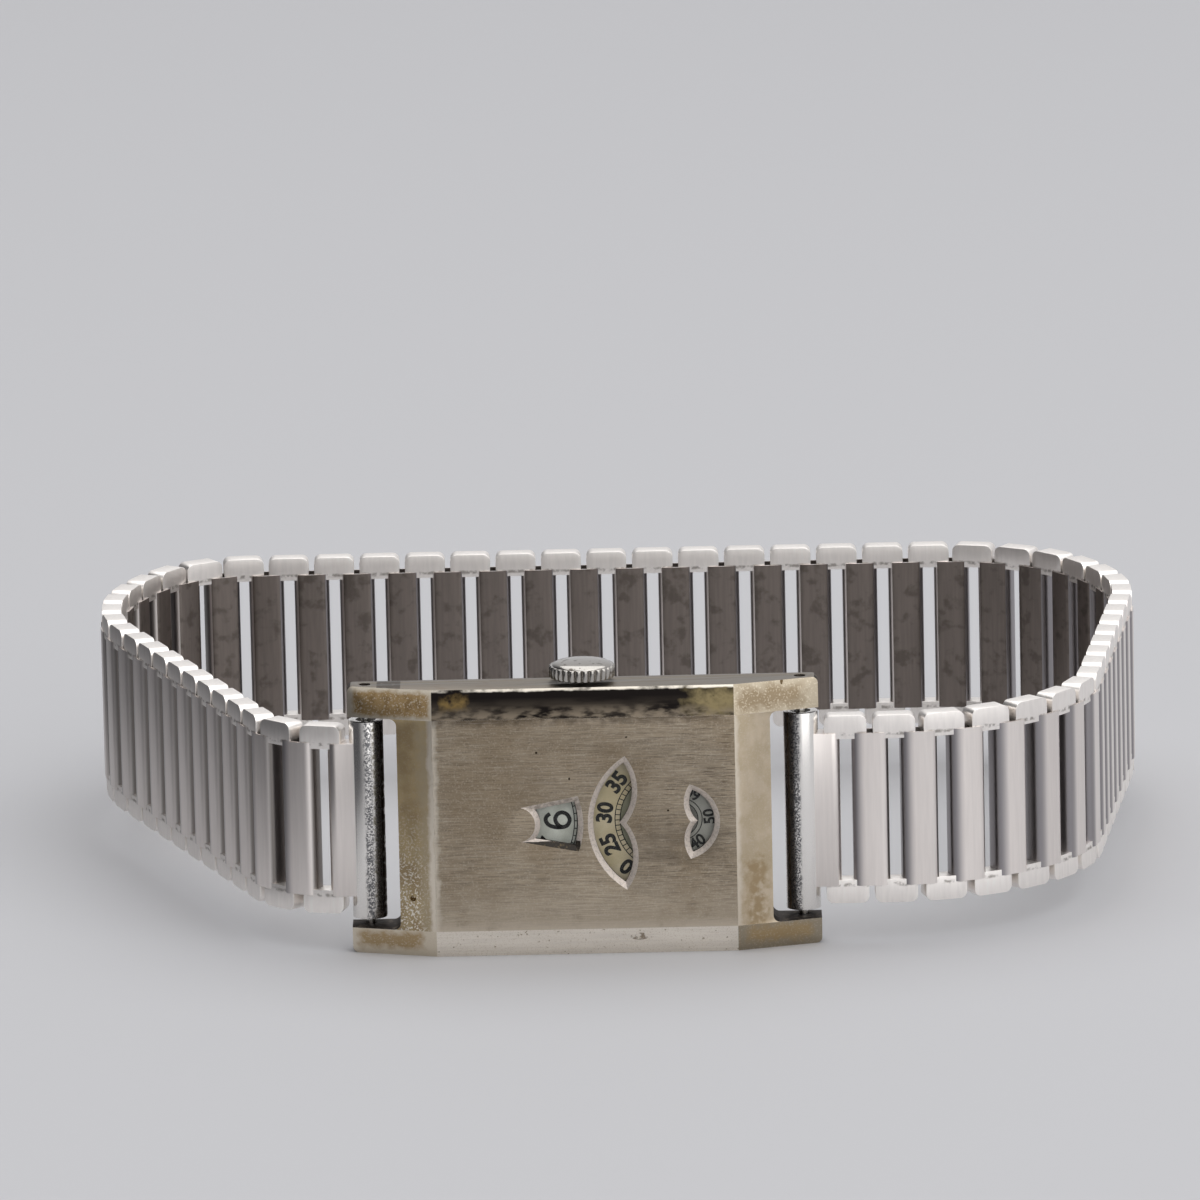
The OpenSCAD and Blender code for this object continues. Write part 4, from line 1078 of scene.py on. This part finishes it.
@dataclass
class Bracelet:
    """The expanding band: sleeves, end links and leaf springs, each repeated along the strand."""

    parts: int = 4
    sleeve_deep: float = 2.0
    sleeve_high: float = 13.2
    sleeve_round: float = 0.7
    wall: float = 0.2
    corner_steps: int = 6
    skin_facing: float = 0.8
    link_deep: float = 1.7
    link_high: float = 1.4
    link_corner: float = 0.6
    link_gap: float = 0.1
    link_soft: float = 0.28
    leg_d: float = 0.7
    leg_l: float = 3.0
    leg_inset: float = 0.05
    leg_sides: int = 24
    leaf_deep: float = 0.15
    leaf_round: float = 0.05
    leaf_gap: float = 0.3
    seed: int = 7
    trees: dict[Kind, bpy.types.NodeTree] = field(default_factory=dict)

    def build(self) -> None:
        """Makes the pieces of every body of the band."""
        for side in Side:
            for part in range(1, self.parts + 1):
                for kind in Kind:
                    node = f"{kind.value[0]}_{side.value}_{part}"
                    show(self._run(kind, node), BODY_OF[node], kind.value[2], node)

    def _points(self, node: str) -> tuple[bpy.types.Mesh, float]:
        """Finds where each piece of a CAD node stands.

        Args:
            node: Name of the CAD node.

        Returns:
            A mesh with one point for each piece and its turn as an attribute, and the pieces' length along
            the band.
        """
        places, turns, length = [], [], 0.0
        for group in islands(node):
            middle = sum(group, Vector()) / len(group)
            flat = [(v.x - middle.x, v.y - middle.y) for v in group]
            spread = sum(a * a for a, _ in flat) - sum(b * b for _, b in flat)
            angle = 0.5 * math.atan2(2 * sum(a * b for a, b in flat), spread)
            inwards = LOOP_MIDDLE - middle
            if math.cos(angle) * inwards.y - math.sin(angle) * inwards.x < 0:
                angle += math.pi
            along = Vector((math.cos(angle), math.sin(angle), 0))
            out = Vector((-along.y, along.x, 0))
            a = [v.dot(along) for v in group]
            b = [v.dot(out) for v in group]
            z = [v.z for v in group]
            centre = along * (min(a) + max(a)) / 2 + out * (min(b) + max(b)) / 2
            centre.z = MIDDLE * MM
            length = max(length, max(a) - min(a))
            # A piece whose middle lies clearly under the long axis is a lower link, and is turned over
            over = 0.0 if (min(z) + max(z)) / 2 > (MIDDLE - 1) * MM else math.pi
            places.append(centre)
            turns.append((over, 0.0, angle))
        mesh = bpy.data.meshes.new(f"{node}_points")
        mesh.from_pydata(places, [], [])
        turn = mesh.attributes.new("turn", "FLOAT_VECTOR", "POINT")
        turn.data.foreach_set("vector", [v for t in turns for v in t])
        return mesh, length

    def _run(self, kind: Kind, node: str) -> bpy.types.Object:
        """Sets the pieces of one kind along one body of the band.

        Args:
            kind: The kind of piece.
            node: Name of the CAD node.

        Returns:
            The pieces as one object.
        """
        points, length = self._points(node)
        if kind not in self.trees:
            self.trees[kind] = self._tree(kind)
        seed = self.seed + len(points.vertices)
        obj = grow(f"band_{node}", self.trees[kind], {"Length": length, "Seed": seed}, points)
        if kind is Kind.LINKS:
            return soften(obj, self.link_soft, angle=50.0, segments=3)
        return smooth(obj, angle=35.0)

    def _tree(self, kind: Kind) -> bpy.types.NodeTree:
        """Makes the node tree that sets one kind of piece on each point.

        Args:
            kind: The kind of piece.

        Returns:
            The tree.
        """
        name, finish, _ = kind.value
        graph = Graph.of_geometry(f"band_{name}", {"Points": "Geometry", "Length": "Float", "Seed": "Int"})
        given = graph.add("NodeGroupInput").node.outputs
        make = {Kind.SLEEVES: self._sleeve, Kind.LINKS: self._link, Kind.LEAVES: self._leaf}[kind]
        piece = make(graph, given["Length"])
        turn = graph.add("GeometryNodeInputNamedAttribute", {"Name": "turn"}, data_type="FLOAT_VECTOR")
        rotation = graph.add("FunctionNodeEulerToRotation", {0: turn})
        placed = graph.add("GeometryNodeInstanceOnPoints", {"Points": given["Points"], "Instance": piece,
                                                            "Rotation": rotation})
        own = graph.add("FunctionNodeRandomValue", {"Seed": given["Seed"]}, 1, data_type="FLOAT")
        toned_piece = graph.add("GeometryNodeStoreNamedAttribute",
                                {"Geometry": placed, "Name": "piece_tone", "Value": own},
                                data_type="FLOAT", domain="INSTANCE")
        real = graph.add("GeometryNodeRealizeInstances", {0: toned_piece})
        done = graph.add("GeometryNodeSetMaterial", {"Geometry": real, "Material": finish.build()})
        if kind is Kind.SLEEVES:
            skin = graph.add("GeometryNodeInputNamedAttribute", {"Name": "skin_side"}, data_type="BOOLEAN")
            done = graph.add("GeometryNodeSetMaterial", {"Geometry": done, "Selection": skin,
                                                         "Material": SKIN.build()})
        graph.add("NodeGroupOutput", {"Geometry": done})
        return graph.tree

    def _rounded(self, graph: Graph, wide: Socket | float, high: float, corner: float) -> Socket:
        """Makes a rectangle with rounded corners, as a curve.

        Args:
            graph: The node tree.
            wide: Its width, in metres.
            high: Its height, in millimetres.
            corner: Radius of its corners, in millimetres.

        Returns:
            The curve.
        """
        box = graph.add("GeometryNodeCurvePrimitiveQuadrilateral", {"Width": wide, "Height": high * MM})
        shape = {"Curve": box, "Count": self.corner_steps, "Radius": corner * MM, "Limit Radius": True}
        return graph.add("GeometryNodeFilletCurve", shape, mode="POLY")

    def _raised(self, graph: Graph, curves: list[Socket], height: float) -> Socket:
        """Fills curves and gives them an even height, centred on their plane.

        Args:
            graph: The node tree that it goes into.
            curves: The outlines.
            height: The height, in millimetres.

        Returns:
            The closed solid.
        """
        joined = graph.add("GeometryNodeJoinGeometry", {0: curves})
        flat = graph.add("GeometryNodeFillCurve", {"Curve": joined}, mode="TRIANGLES")
        low = graph.add("GeometryNodeTransform", {"Geometry": flat, "Translation": (0, 0, -height / 2 * MM)})
        raised = graph.add("GeometryNodeExtrudeMesh", {"Mesh": low, "Offset Scale": height * MM,
                                                       "Individual": False})
        back = graph.add("GeometryNodeFlipFaces", {"Mesh": low})
        both = graph.add("GeometryNodeJoinGeometry", {0: [raised, back]})
        return graph.add("GeometryNodeMergeByDistance", {"Geometry": both, "Distance": 0.001 * MM})

    def _sleeve(self, graph: Graph, length: Socket) -> Socket:
        """Makes one hollow sleeve, with its skin side and its way across marked.

        Args:
            graph: The node tree that it goes into.
            length: Length of the piece along the band, in metres.

        Returns:
            The sleeve.
        """
        outer = self._rounded(graph, length, self.sleeve_deep, self.sleeve_round)
        inside = graph.add("ShaderNodeMath", {0: length, 1: 2 * self.wall * MM}, operation="SUBTRACT")
        inner = self._rounded(graph, inside, self.sleeve_deep - 2 * self.wall, self.sleeve_round - self.wall)
        tube = self._raised(graph, [outer, inner], self.sleeve_high)
        along = graph.add("ShaderNodeSeparateXYZ", {0: graph.add("GeometryNodeInputPosition")}, "X")
        half = graph.add("ShaderNodeMath", {0: length, 1: 0.5}, operation="MULTIPLY")
        across = graph.add("ShaderNodeMath", {0: along, 1: half}, operation="DIVIDE")
        normal = graph.add("ShaderNodeSeparateXYZ", {0: graph.add("GeometryNodeInputNormal")}, "Y")
        inward = graph.add("FunctionNodeCompare", {0: normal, 1: self.skin_facing}, data_type="FLOAT",
                           operation="GREATER_THAN")
        for name, value, data_type, domain in (("across", across, "FLOAT", "POINT"),
                                               ("skin_side", inward, "BOOLEAN", "FACE")):
            mark = {"Geometry": tube, "Name": name, "Value": value}
            tube = graph.add("GeometryNodeStoreNamedAttribute", mark, data_type=data_type, domain=domain)
        return tube

    def _link(self, graph: Graph, length: Socket) -> Socket:
        """Makes one end link: a cap with two round legs.

        Args:
            graph: The node tree that it goes into.
            length: Length of the piece along the band, in metres.

        Returns:
            The link.
        """
        high = self.link_high + self.link_corner
        cap = self._raised(graph, [self._rounded(graph, length, high, self.link_corner)], self.link_deep)
        foot = self.sleeve_high / 2 + self.link_gap
        lift = (foot + self.link_high - high / 2) * MM
        parts = [graph.add("GeometryNodeTransform", {"Geometry": cap, "Rotation": (math.pi / 2, 0, 0),
                                                     "Translation": (0, 0, lift)})]
        leg_l = self.leg_l + self.link_gap
        leg = graph.add("GeometryNodeMeshCylinder", {
            "Vertices": self.leg_sides, "Radius": self.leg_d / 2 * MM, "Depth": leg_l * MM})
        inset = (self.leg_d / 2 + self.leg_inset) * MM
        for way in (-1, 1):
            off = graph.add("ShaderNodeMath", {0: length, 1: 0.5 * way, 2: -way * inset},
                            operation="MULTIPLY_ADD")
            at = graph.add("ShaderNodeCombineXYZ", {"X": off, "Z": (foot - leg_l / 2) * MM})
            parts.append(graph.add("GeometryNodeTransform", {"Geometry": leg, "Translation": at}))
        return graph.add("GeometryNodeJoinGeometry", {0: parts})

    def _leaf(self, graph: Graph, length: Socket) -> Socket:
        """Makes one leaf spring.

        Args:
            graph: The node tree that it goes into.
            length: Length of the piece along the band, in metres.

        Returns:
            The leaf.
        """
        shape = self._rounded(graph, length, self.leaf_deep, self.leaf_round)
        return self._raised(graph, [shape], self.sleeve_high - 2 * (self.leg_l + self.leaf_gap))


@dataclass
class EndPiece:
    """The tube at the lug with the first fixed bar of the strand."""

    side: Side
    bar_from: float = 19.9
    bar_half: float = 6.7
    edge: float = 0.12
    edge_turn: float = 40.0

    def build(self) -> None:
        """Makes the end piece, its tube chromed and its bar satin."""
        node, name = f"end_piece_{self.side.value}", f"tube_{self.side.value}"
        bm = whole(node)
        for face in bm.faces:
            centre = face.calc_center_median() / MM
            on_bar = abs(centre.x) > self.bar_from and abs(centre.z - MIDDLE) < self.bar_half
            face.material_index = int(on_bar)
        obj = add_object(name, plain(bm, name), TUBE, BAR)
        show(soften(obj, self.edge, self.edge_turn), BODY_OF[node], "tube_metal", node)


# Studio


@dataclass(frozen=True)
class Lamp:
    """A soft square light that faces the watch."""

    name: str
    at: tuple[float, float, float]
    size: float
    power: float
    aim: tuple[float, float, float] = (0.0, 0.02, 0.01)

    def build(self) -> None:
        """Hangs the light."""
        light = bpy.data.lights.new(self.name, "AREA")
        light.size = self.size
        light.energy = self.power
        obj = add_object(self.name, light)
        obj.location = self.at
        obj.rotation_euler = (Vector(self.aim) - Vector(self.at)).to_track_quat("-Z", "Y").to_euler()


@dataclass(frozen=True)
class Studio:
    """The table, the light and the camera of the photograph.

    Table size and lamps are in metres, the camera's place and the shade on the table in millimetres, and
    the shade of the room goes by the direction's part across.
    """

    table_half: float = 3.0
    table_shade: str = "3C3C3F"
    table_shade_span: tuple[float, float] = (-100.0, -30.0)
    room_light: str = "A2A2A5"
    room_pale: str = "D2D2D4"
    room_shade: str = "4A4A4D"
    room_shade_span: tuple[float, float] = (-0.7, -0.1)
    lamps: tuple[Lamp, ...] = (Lamp("overhead", (0.05, 0.15, 1.0), 1.6, 9.6),
                               Lamp("right_fill", (0.6, -0.9, 0.7), 1.4, 6.0))
    camera_at: tuple[float, float, float] = (6.5, -1157.45, 285.08)
    pitch: float = 12.43
    yaw: float = -0.24
    roll: float = -1.25
    lens: float = 423.4

    def build(self) -> None:
        """Sets the studio up."""
        mesh = bpy.data.meshes.new("table")
        half = self.table_half
        corners = [(-half, -half, 0), (half, -half, 0), (half, half, 0), (-half, half, 0)]
        mesh.from_pydata(corners, [], [(0, 1, 2, 3)])
        table = add_object("table", mesh, FLOOR)
        self._shade_left(table.data.materials[0])
        for lamp in self.lamps:
            lamp.build()
        self._world()
        self._camera()

    def _shade_left(self, material: bpy.types.Material) -> None:
        """Makes the table darker to the left of the picture, only where metal mirrors it.

        Args:
            material: The table's material.
        """
        graph = Graph(material.node_tree)
        surface = next(node for node in graph.tree.nodes if node.type == "BSDF_PRINCIPLED")
        place = graph.add("ShaderNodeTexCoord", output="Object")
        across = graph.add("ShaderNodeSeparateXYZ", {0: place}, "X")
        start, end = (v * MM for v in self.table_shade_span)
        side = graph.add("ShaderNodeMapRange", {0: across, 1: start, 2: end})
        plain_colour = linear(FLOOR.colour)
        mirrored = graph.add("ShaderNodeMix", {0: side, 6: linear(self.table_shade), 7: plain_colour}, 2,
                             data_type="RGBA")
        mirror = graph.add("ShaderNodeLightPath", output="Is Glossy Ray")
        graph.tree.links.new(graph.add("ShaderNodeMix", {0: mirror, 6: plain_colour, 7: mirrored}, 2,
                                       data_type="RGBA"), surface.inputs["Base Color"])

    def _world(self) -> None:
        """Lights the room dimly, and shows it pale to the camera, the metal and the glass."""
        world = bpy.data.worlds.new("room")
        bpy.context.scene.world = world
        world.use_nodes = True
        world.node_tree.nodes.clear()
        graph = Graph(world.node_tree)
        path = graph.add("ShaderNodeLightPath").node.outputs
        shows = path["Is Camera Ray"]
        for name in ("Is Glossy Ray", "Is Transmission Ray"):
            shows = graph.add("ShaderNodeMath", {0: shows, 1: path[name]}, operation="MAXIMUM")
        way = graph.add("ShaderNodeTexCoord", output="Generated")
        across = graph.add("ShaderNodeSeparateXYZ", {0: way}, "X")
        start, end = self.room_shade_span
        side = graph.add("ShaderNodeMapRange", {0: across, 1: start, 2: end})
        pale = graph.add("ShaderNodeMix", {0: side, 6: linear(self.room_shade), 7: linear(self.room_pale)}, 2,
                         data_type="RGBA")
        lights = graph.add("ShaderNodeBackground", {"Color": linear(self.room_light), "Strength": 1.0})
        seen = graph.add("ShaderNodeBackground", {"Color": pale, "Strength": 1.0})
        mixed = graph.add("ShaderNodeMixShader", {0: shows, 1: lights, 2: seen})
        graph.add("ShaderNodeOutputWorld", {"Surface": mixed})

    def _camera(self) -> None:
        """Stands the camera where the photograph was taken from."""
        pitch, yaw, roll = (math.radians(v) for v in (self.pitch, self.yaw, self.roll))
        ahead = Vector((math.sin(yaw) * math.cos(pitch), math.cos(yaw) * math.cos(pitch), -math.sin(pitch)))
        level = Vector((math.cos(yaw), -math.sin(yaw), 0))
        above = level.cross(ahead)
        right = math.cos(roll) * level + math.sin(roll) * above
        up = -math.sin(roll) * level + math.cos(roll) * above
        camera = add_object("camera", bpy.data.cameras.new("camera"))
        camera.data.lens = self.lens
        camera.data.sensor_width = 36.0
        camera.data.clip_end = 10.0
        turn = Matrix((right, up, -ahead)).transposed()
        camera.matrix_world = Matrix.Translation(Vector(self.camera_at) * MM) @ turn.to_4x4()
        bpy.context.scene.camera = camera


# Watch


@dataclass
class Watch:
    """The whole watch."""

    case: Case = field(default_factory=Case)
    crown: Crown = field(default_factory=Crown)
    bracelet: Bracelet = field(default_factory=Bracelet)
    dials: tuple[Dial, ...] = (
        Dial("minute_disc", 7.04, "minute_paint", {str(v): 352.8 - 6 * v for v in range(5, 65, 5)},
             radius=5.42, height=1.4, turn=-90.0, bold=0.04, track=(4.08, 4.52)),
        Dial("seconds_disc", 8.05, "seconds_paint", {str(v): 6 * (v - 50) + 4.5 for v in range(10, 70, 10)},
             radius=2.38, height=1.0, turn=90.0, bold=0.03, rings=(1.45, 1.8)),
        Dial("hour_disc", -6.9, "hour_paint", {str(v): 30 * (6 - v) + 1.2 for v in range(1, 13)},
             radius=4.6, height=2.36, turn=90.0, bold=0.03, track=(6.0, 6.25), width_share=0.66,
             drawn={"6": SIX, "9": NINE}),
    )

    def build(self) -> None:
        """Builds and dresses every piece."""
        for node, finish in NODE_FINISH.items():
            mesh = NODES[node].data
            mesh.materials.clear()
            mesh.materials.append(finish.build())
            log.info("%s: dressed in %s", node, finish.name)
        self.case.build()
        self.crown.build()
        for dial in self.dials:
            dial.build()
        for side in Side:
            EndPiece(side).build()
        self.bracelet.build()


def main() -> None:
    """Builds the scene."""
    logging.basicConfig(level=logging.INFO)
    Watch().build()
    Studio().build()
    bpy.context.scene.view_settings.view_transform = "Standard"


if __name__ == "__main__":
    main()
